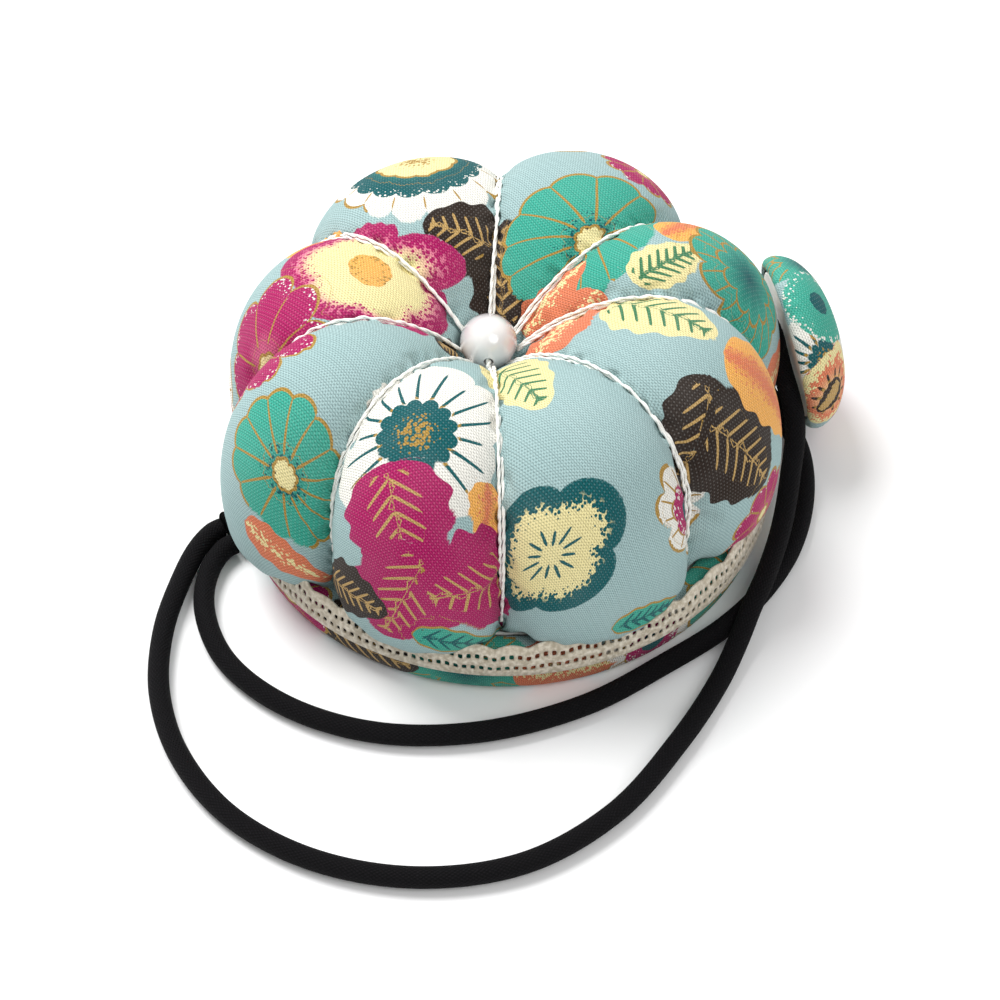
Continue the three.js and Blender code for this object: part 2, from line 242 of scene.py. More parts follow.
# ---- materials ---------------------------------------------------------------------------------------
class Finish:
    """A material and short names for adding nodes to it."""

    def __init__(self, name, colour, **sockets):
        self.material = bpy.data.materials.new(name)
        self.material.use_nodes = True
        self.nodes = self.material.node_tree.nodes
        self.links = self.material.node_tree.links
        self.shader = self.nodes["Principled BSDF"]
        self.shader.inputs["Base Color"].default_value = (*linear(colour), 1)
        self.material.diffuse_color = (*linear(colour), 1)
        for socket, value in sockets.items():
            self.shader.inputs[socket.replace("_", " ")].default_value = value

    def add(self, kind, settings=None, **inputs):
        """A node; inputs are linked when they are sockets and set when they are values."""
        node = self.nodes.new(f"ShaderNode{kind}")
        for key, value in (settings or {}).items():
            setattr(node, key, value)
        for key, value in inputs.items():
            socket = node.inputs[int(key[1:])] if key[0] == "_" and key[1:].isdigit() else \
                node.inputs[key.replace("_", " ")]
            if isinstance(value, bpy.types.NodeSocket):
                self.links.new(value, socket)
            else:
                socket.default_value = value
        return node

    def math(self, operation, first, second=0.0, third=0.0, clamp=False):
        settings = {"operation": operation, "use_clamp": clamp}
        return self.add("Math", settings, _0=first, _1=second, _2=third).outputs[0]

    def ramp(self, factor, low, high, start=0.0, end=1.0):
        """factor's stretch from low to high, mapped smoothly to start..end."""
        node = self.add("MapRange", {"interpolation_type": "SMOOTHSTEP"}, Value=factor, From_Min=low,
                        From_Max=high, To_Min=start, To_Max=end)
        return node.outputs["Result"]

    def noise(self, place, scale, detail, distortion=0.0):
        node = self.add("TexNoise", Vector=place, Scale=scale, Detail=detail, Distortion=distortion)
        return node.outputs["Fac"]

    def place(self):
        return self.add("TexCoord").outputs["Object"]

    def mix(self, factor, first, second, blend="MIX"):
        node = self.nodes.new("ShaderNodeMix")
        node.data_type = "RGBA"
        node.blend_type = blend
        inputs = [node.inputs[0], *[socket for socket in node.inputs if socket.type == "RGBA"]]
        for socket, value in zip(inputs, (factor, first, second)):
            if isinstance(value, bpy.types.NodeSocket):
                self.links.new(value, socket)
            elif socket.type == "RGBA":
                socket.default_value = (*value, 1)
            else:
                socket.default_value = value
        return [socket for socket in node.outputs if socket.type == "RGBA"][0]

    def attribute(self, name):
        return self.add("Attribute", {"attribute_name": name})

    def colour(self, socket):
        self.links.new(socket, self.shader.inputs["Base Color"])

    def bump(self, height, distance, strength=1.0, under=None):
        inputs = {"Height": height, "Distance": distance * MM, "Strength": strength}
        if under is not None:
            inputs["Normal"] = under
        normal = self.add("Bump", **inputs).outputs["Normal"]
        for link in list(self.shader.inputs["Normal"].links):
            self.links.remove(link)
        self.links.new(normal, self.shader.inputs["Normal"])
        return normal


CLOTH_UNIT = 0.01                      # one millimetre of flat cloth in the cloth map
BRAID_STARTS, BRAID_PITCH = 10, 1.5    # the elastic's ribs round it, and the rise of each in a turn
WEAVE_PITCH = 0.42                     # between threads of the printed cotton
SLUB_SHARE = 0.35                      # how far a thread wanders, as a share of the pitch
TWILL_SHARE = 0.45                     # how much of the relief runs slantwise
DOT_PITCH = 0.62                       # between dots of the print's stipple


def weave_height(finish):
    """Height of the weave on the cloth map, where the weft shows in it, and the map itself."""
    pitch = WEAVE_PITCH * CLOTH_UNIT
    place = finish.add("UVMap", {"uv_map": "cloth"}).outputs["UV"]
    slub = finish.add("TexNoise", Vector=place, Scale=2.2 / pitch, Detail=2.0).outputs["Color"]
    bent = finish.add("VectorMath", {"operation": "SCALE"}, _0=slub, Scale=SLUB_SHARE * pitch)
    moved = finish.add("VectorMath", {"operation": "ADD"}, _0=place, _1=bent.outputs[0]).outputs[0]
    parts = finish.add("SeparateXYZ", _0=moved)
    wave = math.pi / pitch
    across = finish.math("SINE", finish.math("MULTIPLY", parts.outputs[0], wave))
    along = finish.math("SINE", finish.math("MULTIPLY", parts.outputs[1], wave))
    over = finish.math("MULTIPLY", across, along)
    slant = finish.math("MULTIPLY", finish.math("ADD", parts.outputs[0], parts.outputs[1]), wave * 0.8)
    twill = finish.math("ABSOLUTE", finish.math("SINE", slant))
    plain = finish.math("MULTIPLY", finish.math("ABSOLUTE", over), 1 - TWILL_SHARE)
    return finish.math("ADD", plain, finish.math("MULTIPLY", twill, TWILL_SHARE)), over, place


def printed_cotton():
    """Woven cotton that wears the print painted on the piece's points: crisp edges, lines and stipple."""
    finish = Finish("printed_cotton", INKS["sky"], Roughness=0.9, Sheen_Weight=0.05, Sheen_Roughness=0.5,
                    Specular_IOR_Level=0.15)
    height, over, place = weave_height(finish)
    top = finish.attribute("print_top")
    under = finish.attribute("print_under")
    lines = finish.attribute("print_lines")
    dots = finish.attribute("print_dots")
    measures = finish.add("SeparateXYZ", _0=finish.attribute("print_fields").outputs["Vector"])
    edge = finish.math("SUBTRACT", top.outputs["Alpha"], 0.5)
    ragged = finish.noise(place, 260.0, 1.0)
    edge = finish.math("ADD", edge, finish.math("MULTIPLY", finish.math("SUBTRACT", ragged, 0.5), 0.05))
    colour = finish.mix(finish.ramp(edge, -0.03, 0.03), under.outputs["Color"], top.outputs["Color"])
    cells = finish.add("TexVoronoi", Vector=place, Scale=1 / (DOT_PITCH * CLOTH_UNIT)).outputs["Distance"]
    dot = finish.math("SUBTRACT", finish.math("MULTIPLY", dots.outputs["Alpha"], 0.78), cells)
    colour = finish.mix(finish.ramp(dot, -0.05, 0.05), colour, dots.outputs["Color"])
    line = finish.math("SUBTRACT", measures.outputs[1], finish.math("ABSOLUTE", measures.outputs[0]))
    colour = finish.mix(finish.ramp(line, -0.04, 0.04), colour, lines.outputs["Color"])
    rim = finish.math("SUBTRACT", measures.outputs[2], finish.math("ABSOLUTE", edge))
    colour = finish.mix(finish.ramp(rim, -0.02, 0.02), colour, lines.outputs["Color"])
    worn = finish.ramp(finish.noise(place, 9.0, 3.0), 0.3, 0.8, 0.0, 0.04)
    colour = finish.mix(worn, colour, (0.86, 0.86, 0.84))
    # Painted shade: the colour is multiplied darker in the hollows of the weave, by its height, and a little
    # darker everywhere.
    threads = finish.ramp(height, 0.05, 0.75, 0.48, 0.95)
    shade = finish.add("CombineColor", _0=threads, _1=threads, _2=threads).outputs[0]
    colour = finish.mix(1.0, colour, shade, "MULTIPLY")
    weft = finish.ramp(over, 0.3, 1.0, 0.0, 0.07)
    finish.colour(finish.mix(weft, colour, (0.93, 0.93, 0.90)))
    finish.bump(height, 0.07, 0.75)
    return finish.material


def lace_cotton():
    finish = Finish("ecru_lace", (214, 204, 184), Roughness=0.9, Sheen_Weight=0.3)
    place = finish.place()
    twist = finish.noise(place, 1500.0, 3.0)
    soil = finish.ramp(finish.noise(place, 160.0, 2.0), 0.4, 0.8, 0.0, 0.35)
    fibre = finish.mix(finish.ramp(twist, 0.3, 0.75), linear((176, 164, 142)), linear((228, 220, 203)))
    finish.colour(finish.mix(soil, fibre, linear((200, 188, 166))))
    finish.bump(twist, 0.15, 0.8)
    return finish.material


def braided_elastic():
    """Black braid: fine slanted ribs both ways, with a little fuzz; its colour has painted shade in the
    grooves between the ribs and a painted sheen on the fuzz.
    """
    finish = Finish("black_elastic", (9, 8, 10), Roughness=0.85, Specular_IOR_Level=0.14)
    parts = finish.add("SeparateXYZ", _0=finish.add("UVMap", {"uv_map": "cloth"}).outputs["UV"])
    around = finish.math("MULTIPLY", parts.outputs[0], 2 * math.pi * BRAID_STARTS)
    along = finish.math("MULTIPLY", parts.outputs[1], 2 * math.pi / (BRAID_PITCH * CLOTH_UNIT))
    left = finish.math("SINE", finish.math("ADD", around, along))
    right = finish.math("SINE", finish.math("SUBTRACT", around, along))
    ribs = finish.math("ABSOLUTE", finish.math("MULTIPLY", left, right))
    fuzz = finish.noise(finish.place(), 1800.0, 3.0)
    # Painted shade: the braid is darker in the grooves between the ribs.
    dark = finish.mix(finish.ramp(ribs, 0.0, 0.8), linear((3, 3, 4)), linear((15, 13, 16)))
    # Painted sheen: the loose fibres of the fuzz are lightened towards grey.
    finish.colour(finish.mix(finish.ramp(fuzz, 0.62, 0.8, 0.0, 0.4), dark, linear((34, 31, 36))))
    under = finish.bump(ribs, 0.12, 0.8)
    finish.bump(fuzz, 0.05, 0.5, under)
    return finish.material


def pearl():
    finish = Finish("pearl", (222, 220, 219), Roughness=0.2, Coat_Weight=1.0, Coat_Roughness=0.04,
                    Specular_IOR_Level=0.8)
    # Painted reflection: the pearl is greyer and darker towards its rim, where it faces away.
    facing = finish.add("LayerWeight", Blend=0.35).outputs["Facing"]
    cloud = finish.noise(finish.place(), 240.0, 2.0)
    body = finish.mix(finish.ramp(cloud, 0.35, 0.7), linear((216, 213, 213)), linear((230, 228, 226)))
    finish.colour(finish.mix(finish.ramp(facing, 0.15, 0.9, 0.0, 0.7), body, linear((158, 150, 152))))
    finish.bump(cloud, 0.01, 0.4)
    return finish.material


def table_white():
    finish = Finish("table_white", (247, 247, 247), Roughness=0.6, Specular_IOR_Level=0.2)
    tone = finish.noise(finish.place(), 3.0, 1.0)
    finish.colour(finish.mix(tone, linear((246, 246, 246)), linear((249, 249, 249))))
    return finish.material


# Plain materials of two tones in fine noise, which is their relief too: noise is its scale, detail and
# distortion, stretch the part of it that the tones take up, relief its depth and strength.
MOTTLED = {
    "sewing_thread": dict(colour=(240, 237, 228), dark=(244, 242, 234), light=(255, 254, 250),
                          noise=(2600.0, 2.0, 0.0), stretch=(0.35, 0.75), relief=(0.02, 0.4), Roughness=0.62,
                          Sheen_Weight=0.25, Subsurface_Weight=0.05),
    "stuffing": dict(colour=(240, 238, 232), dark=(222, 219, 212), light=(248, 247, 243),
                     noise=(420.0, 6.0, 2.0), stretch=(0.35, 0.7), relief=(0.6, 0.9), Roughness=0.95,
                     Sheen_Weight=0.3),
    "card_board": dict(colour=(176, 168, 152), dark=(160, 152, 136), light=(190, 183, 168),
                       noise=(900.0, 4.0, 0.0), stretch=(0.4, 0.65), relief=(0.08, 0.5), Roughness=0.92),
    "button_plastic": dict(colour=(228, 226, 218), dark=(220, 218, 209), light=(233, 231, 224),
                           noise=(1400.0, 2.0, 0.0), stretch=(0.4, 0.7), relief=(0.02, 0.5), Roughness=0.48),
    "steel_wire": dict(colour=(196, 198, 202), dark=(178, 180, 186), light=(208, 210, 213),
                       noise=(2500.0, 2.0, 0.0), stretch=(0.4, 0.7), relief=(0.01, 0.4), Roughness=0.3,
                       Metallic=1.0),
}
MAKERS = {"printed_cotton": printed_cotton, "cotton_lace": lace_cotton, "black_elastic": braided_elastic,
          "pearl": pearl}


def mottled(slot, colour, dark, light, noise, stretch, relief, **sockets):
    finish = Finish(slot, colour, **sockets)
    grain = finish.noise(finish.place(), *noise)
    finish.colour(finish.mix(finish.ramp(grain, *stretch), linear(dark), linear(light)))
    finish.bump(grain, *relief)
    return finish.material


def material(slot):
    """The one material of a slot, made the first time that it is asked for."""
    key = f"slot_{slot}"
    made = bpy.data.materials.get(key)
    if made is None:
        made = MAKERS[slot]() if slot in MAKERS else mottled(slot, **MOTTLED[slot])
        made.name = key
    return made


# ---- the print ---------------------------------------------------------------------------------------
# A motif is a stack of layers, painted from the first to the last. Each layer is one flat shape:
#   size     its share of the motif's radius, 1 unless given
#   petals, notch  how many bumps its outline has, how deep
#   leaf     its width as a share of its length, for a leaf instead of a flower
#   fill     an ink, or (share of the way out, ink) stops
#   rim      (ink, half width) of its outline
#   dots     (ink, from, to) stipple that thickens
#   veins    (ink, from, to, half width, times) lines
BLOOMS = {
    "teal_daisy": [
        dict(petals=13, notch=0.1, fill=[(0.0, "deep_teal"), (0.35, "teal"), (1.0, "teal")],
             rim=("gold", 0.24), veins=("gold", 0.24, 1.0, 0.2, 1), dots=("deep_teal", 0.55, 0.1)),
        dict(size=0.2, petals=9, notch=0.2, fill="cream", rim=("gold", 0.2), dots=("umber", 0.6, 1.3))],
    "teal_fan": [
        dict(petals=9, notch=0.16, fill=[(0.0, "deep_teal"), (0.5, "teal"), (1.0, "teal")],
             rim=("gold", 0.24), veins=("gold", 0.1, 1.0, 0.18, 2)),
        dict(size=0.6, petals=9, notch=0.3, fill=[(0.0, "deep_teal"), (1.0, "teal")], rim=("gold", 0.2))],
    "magenta_daisy": [
        dict(petals=9, notch=0.22, fill=[(0.0, "pink"), (0.45, "magenta"), (1.0, "magenta")],
             rim=("gold", 0.22), veins=("gold", 0.3, 0.95, 0.18, 1), dots=("white", 0.75, 1.25)),
        dict(size=0.2, petals=7, notch=0.2, fill="cream", rim=("gold", 0.2))],
    "blush_bloom": [
        dict(petals=6, notch=0.2, fill=[(0.0, "cream"), (0.62, "cream"), (0.8, "pink"), (1.0, "magenta")],
             dots=("magenta", 0.5, 0.92)),
        dict(size=0.24, petals=8, notch=0.08, fill="amber", dots=("gold", 0.1, 1.6))],
    "anemone": [
        dict(petals=6, notch=0.2, fill="white", veins=("deep_teal", 0.3, 0.84, 0.27, 3)),
        dict(size=0.4, petals=13, notch=0.2, fill="deep_teal", dots=("gold", 0.8, 0.2))],
    "magenta_leaf": [dict(leaf=0.85, fill="magenta", veins=("tan", 0.0, 0.5, 0.2, 1))],
    "cream_pansy": [
        dict(petals=4, notch=0.24,
             fill=[(0.0, "cream"), (0.72, "cream"), (0.84, "deep_teal"), (1.0, "deep_teal")],
             veins=("deep_teal", 0.14, 0.42, 0.2, 3), dots=("deep_teal", 0.5, 0.8))],
    "white_flower": [
        dict(petals=7, notch=0.26, fill="white", rim=("gold", 0.3), veins=("gold", 0.5, 0.96, 0.22, 2)),
        dict(size=0.62, petals=7, notch=0.2, fill="magenta", rim=("gold", 0.16), dots=("white", 0.4, 1.25)),
        dict(size=0.26, petals=6, notch=0.1, fill="deep_teal")],
    "scalloped_disc": [
        dict(petals=14, notch=0.12, fill="white", rim=("gold", 0.26), veins=("gold", 0.76, 0.98, 0.18, 1)),
        dict(size=0.74, petals=14, notch=0.1, fill=[(0.0, "teal"), (0.7, "deep_teal"), (1.0, "deep_teal")],
             dots=("white", 0.8, 1.2)),
        dict(size=0.42, petals=10, notch=0.08, fill="cream", rim=("gold", 0.2), dots=("gold", 0.7, 0.2))],
    "dark_leaf": [dict(leaf=0.72, fill="umber", veins=("tan", 0.0, 0.56, 0.19, 1))],
    "coral_leaf": [dict(leaf=0.62, fill="coral", dots=("cream", 0.7, 0.05))],
    "amber_petal": [
        dict(leaf=0.6, fill=[(0.0, "coral"), (0.5, "amber"), (1.0, "amber")], dots=("coral", 0.9, 0.0))],
    "cream_leaf": [dict(leaf=0.6, fill="cream", veins=("leaf", 0.0, 0.7, 0.22, 1))],
    "teal_spot": [
        dict(petals=5, notch=0.06, fill="teal", dots=("white", 0.62, 1.2)),
        dict(size=0.3, petals=9, notch=0.1, fill="deep_teal")],
    "coral_bloom": [
        dict(petals=5, notch=0.12, fill=[(0.0, "cream"), (0.6, "coral"), (1.0, "coral")],
             veins=("umber", 0.15, 0.6, 0.26, 2.2), dots=("cream", 0.5, 0.9))],
    "green_leaf": [dict(leaf=0.4, fill="teal", rim=("gold", 0.2), veins=("deep_teal", 0.0, 0.8, 0.18, 1))],
}
EDGE_BAND = 1.0                        # how far each side of an outline its crisp edge is carried


class Print:
    """What a printed piece's points carry: two colours and the edge between them, lines and stipple."""

    def __init__(self, count):
        self.top = np.tile(ink("sky"), (count, 1))
        self.under = self.top.copy()
        self.edge = np.zeros(count)
        self.lines = self.top.copy()
        self.field = np.full(count, 9.0)
        self.width = np.zeros(count)
        self.rim = np.zeros(count)
        self.dots = self.top.copy()
        self.amount = np.zeros(count)

    def paint(self, layers, x, y, radius):
        """Paints one motif; x and y are the points' places from its middle, in millimetres."""
        for layer in layers:
            self.paint_layer(layer, x, y, radius * layer.get("size", 1.0))

    def paint_layer(self, layer, x, y, radius):
        near = np.flatnonzero(x * x + y * y < (radius + 2.5 * EDGE_BAND) ** 2)
        if not len(near):
            return
        x, y = x[near], y[near]
        outline = leaf_outline if "leaf" in layer else petal_outline
        distance, share, vein = outline(layer, x, y, radius)
        shown = np.where(self.edge[near, None] > 0.5, self.top[near], self.under[near])
        band = distance < EDGE_BAND
        ring = (distance >= EDGE_BAND) & (distance < 2.2 * EDGE_BAND)
        before = np.round(self.edge[near])
        fill = layer["fill"]
        stops, inks = zip(*([(0, fill)] if isinstance(fill, str) else fill))
        fill = np.stack([np.interp(share, stops, [ink(name)[c] for name in inks]) for c in range(3)], 1)
        self.top[near[band]] = fill[band]
        self.under[near[band]] = shown[band]
        self.edge[near[band]] = np.clip(0.5 - distance[band] / (2 * EDGE_BAND), 0, 1)
        self.top[near[ring]] = self.under[near[ring]] = shown[ring]
        self.edge[near[ring]] = np.where(distance[ring] < 1.6 * EDGE_BAND, 0, before[ring])
        rim_ink, rim_width = layer.get("rim", ("gold", -0.2))
        close = distance < 0.45
        self.rim[near[band | ring]] = rim_width / (2 * EDGE_BAND)
        self.lines[near[close]] = ink(rim_ink)
        inside = distance < 0
        self.width[near[inside]] = -0.2
        self.amount[near[inside]] = 0
        if "veins" in layer:
            vein_ink, start, stop, width, _ = layer["veins"]
            drawn = inside & (share > start) & (share < stop)
            self.field[near[drawn]] = vein[drawn]
            taper = np.clip(np.minimum(share - start, stop - share) / 0.06, 0, 1)
            self.width[near[drawn]] = width * taper[drawn] * (1.15 - 0.5 * share[drawn])
            inner = drawn & (distance < -0.45)
            self.lines[near[inner]] = ink(vein_ink)
        if "dots" in layer:
            dot_ink, start, stop = layer["dots"]
            if start < stop:
                amount = np.clip((share - start) / (stop - start), 0, 1)
            else:
                amount = np.clip((start - share) / (start - stop), 0, 1) * 0.8
            self.dots[near[inside]] = ink(dot_ink)
            self.amount[near[inside]] = amount[inside]

    def store(self, mesh):
        """Writes the print onto the mesh's points, for the cotton material to read."""
        full = np.ones_like(self.edge)
        colours = {"print_top": (self.top, self.edge), "print_under": (self.under, full),
                   "print_lines": (self.lines, full), "print_dots": (self.dots, self.amount)}
        for name, (rgb, alpha) in colours.items():
            layer = mesh.attributes.new(name, "FLOAT_COLOR", "POINT")
            layer.data.foreach_set("color", np.column_stack([rgb, alpha]).astype(np.float32).ravel())
        layer = mesh.attributes.new("print_fields", "FLOAT_VECTOR", "POINT")
        fields = np.column_stack([np.clip(self.field, -2, 2), self.width, self.rim])
        layer.data.foreach_set("vector", fields.astype(np.float32).ravel())


def petal_outline(layer, x, y, radius):
    """Distance outside a flower's outline, share of the way out to it, and distance from a petal's line."""
    reach = np.hypot(x, y)
    angle = np.arctan2(y, x)
    half = layer["petals"] / 2
    bump = np.abs(np.cos(half * angle)) ** 0.6
    edge = radius * (1 - layer["notch"] * (1 - bump)) * (1 + 0.03 * np.sin(2.3 * angle + radius))
    times = layer["veins"][4] if "veins" in layer else 1
    lines = layer["petals"] / 2 * times
    vein = reach * np.cos(lines * angle) / lines
    return (reach - edge) * 0.9, reach / np.maximum(edge, 1e-6), vein


def leaf_outline(layer, x, y, radius):
    """The same three for a leaf that points along x."""
    along = np.clip(x / radius, -1, 1)
    half = radius * layer["leaf"] * np.sqrt(1 - along ** 2) * (1 - 0.35 * along)
    half = half * (1 + 0.07 * np.cos(14 * along))
    past = np.maximum(np.abs(x) - radius, 0)
    distance = np.hypot(np.maximum(np.abs(y) - half, 0), past) + np.minimum(np.abs(y) - half, 0)
    share = np.clip(np.abs(y) / np.maximum(half, 1e-6), 0, 2)
    spacing = radius * 0.5
    side = np.sin(2 * math.pi * (x - 0.8 * np.abs(y)) / spacing) * spacing / (2 * math.pi) * 0.78
    vein = np.where(np.abs(y) < np.abs(side), y, side)
    vein = np.where(np.abs(along) < 0.86, vein, 9.0)
    return distance * 0.85, share, vein


# ---- printed grids -----------------------------------------------------------------------------------
class ClothGrid:
    """A printed surface of rows from its middle outwards and columns round it."""

    def __init__(self, points, azimuths):
        self.points = points
        self.azimuths = azimuths
        rows = np.linalg.norm(np.diff(points, axis=0), axis=2)
        first = np.linalg.norm(points[0] - points[0].mean(axis=0), axis=1)
        self.out = np.concatenate([first[None, :], first[None, :] + np.cumsum(rows, axis=0)])
        around = np.linalg.norm(np.diff(points, axis=1, append=points[:, :1]), axis=2)
        self.girth = around.sum(axis=1)
        self.along = np.concatenate([np.zeros((len(points), 1)), np.cumsum(around, axis=1)[:, :-1]], axis=1)

    def place(self, azimuth, reach, turn):
        """Every point's x and y from a motif's middle: x runs outwards when turn is 0."""
        gap = (self.azimuths - math.radians(azimuth) + math.pi) % (2 * math.pi) - math.pi
        column = int(np.argmin(np.abs(gap)))
        sideways = self.along - self.along[:, column:column + 1]
        half = self.girth[:, None] / 2
        sideways = (sideways + half) % (2 * half) - half
        outwards = self.out - reach
        turn = math.radians(turn)
        x = math.cos(turn) * outwards + math.sin(turn) * sideways
        y = -math.sin(turn) * outwards + math.cos(turn) * sideways
        return x.ravel(), y.ravel()

    def normals(self):
        outwards = np.gradient(self.points, axis=0)
        padded = np.concatenate([self.points[:, -1:], self.points, self.points[:, :1]], axis=1)
        around = (padded[:, 2:] - padded[:, :-2]) / 2
        across = np.cross(outwards, around)
        return across / np.maximum(np.linalg.norm(across, axis=2, keepdims=True), 1e-9)

    def piece(self, name, layout):
        """The closed mesh with its print and cloth map; the poles at both ends are closed."""
        rows, columns = self.points.shape[:2]
        flat = self.points.reshape(-1, 3)
        poles = np.array([self.points[0].mean(axis=0), self.points[-1].mean(axis=0)])
        faces = [face[::-1] for face in grid_faces(rows, columns)]
        top, bottom = rows * columns, rows * columns + 1
        last = (rows - 1) * columns
        for column in range(columns):
            after = (column + 1) % columns
            faces.append((top, column, after))
            faces.append((bottom, last + after, last + column))
        angle = np.broadcast_to(self.azimuths, (rows, columns))
        uvs = np.stack([self.out * np.cos(angle), self.out * np.sin(angle)], axis=2).reshape(-1, 2)
        uvs = np.concatenate([uvs, [[0, 0], [self.out[-1].mean(), 0]]]) * CLOTH_UNIT
        made = Print(rows * columns + 2)
        for bloom, azimuth, reach, radius, turn in layout:
            x, y = self.place(azimuth, reach, turn)
            far = np.array([99.0, 99.0])
            made.paint(BLOOMS[bloom], np.concatenate([x, far]), np.concatenate([y, far]), radius)
        piece = mesh_piece(name, np.concatenate([flat, poles]), faces, uvs)
        made.store(piece.data)
        return piece


def refine(values, factor):
    """A cubic curve through the values' first axis, factor samples for each step."""
    padded = np.concatenate([[2 * values[0] - values[1]], values, [2 * values[-1] - values[-2]]])
    t = (np.arange(factor) / factor).reshape(factor, *[1] * (values.ndim - 1))
    pieces = []
    for i in range(len(values) - 1):
        a, b, c, d = padded[i:i + 4]
        pieces.append(b + 0.5 * t * (c - a + t * (2 * a - 5 * b + 4 * c - d + t * (3 * (b - c) + d - a))))
    return np.concatenate(pieces + [values[-1:]])


# ---- shapes of the cushion ---------------------------------------------------------------------------
# Half sections as (distance from the middle, height): over the crown of a lobe, and down a groove.
CROWN_SECTION = ((0.9, 26.6), (3.4, 27.6), (5.8, 30.6), (9.2, 34.6), (14, 37.9), (20, 39.9), (26.6, 39.9),
                 (33.4, 36.4), (38.2, 29.5), (40.1, 21.5), (40.4, 15.4), (39.9, 11.2), (38.0, 9.0), (34, 8.4),
                 (28, 8.4))
LOBE_SWELL = (1.6, 1.9, 0.5, -1.2, 2.6, 1.2, 0.4, 0)   # how far each lobe stands out past the others
GROOVE_SECTION = ((0.9, 26.6), (3.2, 27.4), (5.6, 29.8), (9.0, 33.3), (13.6, 36.2), (19, 37.8), (24.8, 37.2),
                  (30.0, 33.2), (32.9, 26.6), (33.6, 19.5), (33.6, 14.5), (33.6, 11), (33.5, 9.4), (32, 8.5),
                  (28, 8.4))
LOBE_MIDDLE = (20.0, 22.0)             # what a lobe swells away from, as (distance, height)
LOBE_COLUMNS = 16
CUSHION_ROWS = 35
FINENESS = 8
CLOTH_SCALE = 10                       # how much larger than life the cloth is simulated


def lobed_grid(rows, columns, fullness=1.0, shrink=0.0):
    """Points of the cushion as rows from the dimple down and columns round it, and the columns' azimuths."""
    crown, _ = evenly(smooth_curve(CROWN_SECTION), rows)
    groove, _ = evenly(smooth_curve(GROOVE_SECTION), rows)
    turn = math.pi * np.arange(columns) / columns
    bulge = np.tile(np.sin(turn), LOBES)[None, :] ** np.linspace(1.65, 1.25, rows)[:, None] * fullness
    starts = np.array(LOBE_AZIMUTHS, float)
    spans = (np.roll(starts, -1) - starts) % 360
    azimuths = np.radians((starts[:, None] + spans[:, None] * (1 - np.cos(turn)) / 2).ravel())
    section = groove[:, None, :] + (crown - groove)[:, None, :] * bulge[..., None]
    away = section - np.array(LOBE_MIDDLE)
    swell = np.repeat(LOBE_SWELL, columns)[None, :] * bulge * np.clip(crown[:, :1] / 30 - 0.3, 0, 1)
    away = away / np.maximum(np.linalg.norm(away, axis=2, keepdims=True), 1e-6)
    section = section + (swell[..., None] - shrink) * away
    reach, height = np.maximum(section[..., 0], 0.9), section[..., 1]
    shift = AXIS_SHIFT * np.maximum(0, 1 - reach / 40) ** 1.5
    return np.stack([reach * np.cos(azimuths) + shift, reach * np.sin(azimuths), height], axis=2), azimuths


def air_filled(grid, pinned, pressure, slack, frames, most):
    """The grid after pressure has filled its cloth, cut a little slack; no point moves further than most."""
    faces = [face[::-1] for face in grid_faces(*grid.shape[:2])]
    bag = mesh_piece("cloth_under_pressure", grid.reshape(-1, 3) * CLOTH_SCALE, faces)
    group = bag.vertex_groups.new(name="held")
    group.add(np.flatnonzero(pinned.ravel()).tolist(), 1.0, "ADD")
    cloth = bag.modifiers.new("cloth", "CLOTH")
    settings = cloth.settings
    settings.quality = 6
    settings.mass = 0.15
    settings.tension_stiffness = settings.compression_stiffness = 18
    settings.shear_stiffness = 8
    settings.bending_stiffness = 0.15
    settings.vertex_group_mass = "held"
    settings.shrink_min = -slack
    settings.use_pressure = True
    settings.uniform_pressure_force = pressure
    settings.effector_weights.gravity = 0
    cloth.point_cache.frame_start, cloth.point_cache.frame_end = 1, frames
    for step in range(1, frames + 1):
        bpy.context.scene.frame_set(step)
    filled = bag.evaluated_get(bpy.context.evaluated_depsgraph_get())
    after = np.empty(grid.size, np.float32)
    filled.data.vertices.foreach_get("co", after)
    bpy.context.scene.frame_set(1)
    mesh = bag.data
    bpy.data.objects.remove(bag)
    bpy.data.meshes.remove(mesh)
    move = after.reshape(grid.shape) / MM / CLOTH_SCALE - grid
    length = np.linalg.norm(move, axis=2, keepdims=True)
    return grid + move * np.minimum(1, most / np.maximum(length, 1e-9))


def finer_lobes(grid, azimuths, factor):
    """The grid with factor times the rows and columns, each lobe refined on its own so its creases stay."""
    columns = grid.shape[1] // LOBES
    parts, angles = [], []
    for lobe in range(LOBES):
        picked = (np.arange(columns + 1) + lobe * columns) % grid.shape[1]
        part = refine(grid[:, picked].transpose(1, 0, 2), factor).transpose(1, 0, 2)
        parts.append(part[:, :-1])
        turn = np.unwrap(azimuths[picked])
        angles.append(refine(turn, factor)[:-1])
    return refine(np.concatenate(parts, axis=1), factor), np.concatenate(angles)


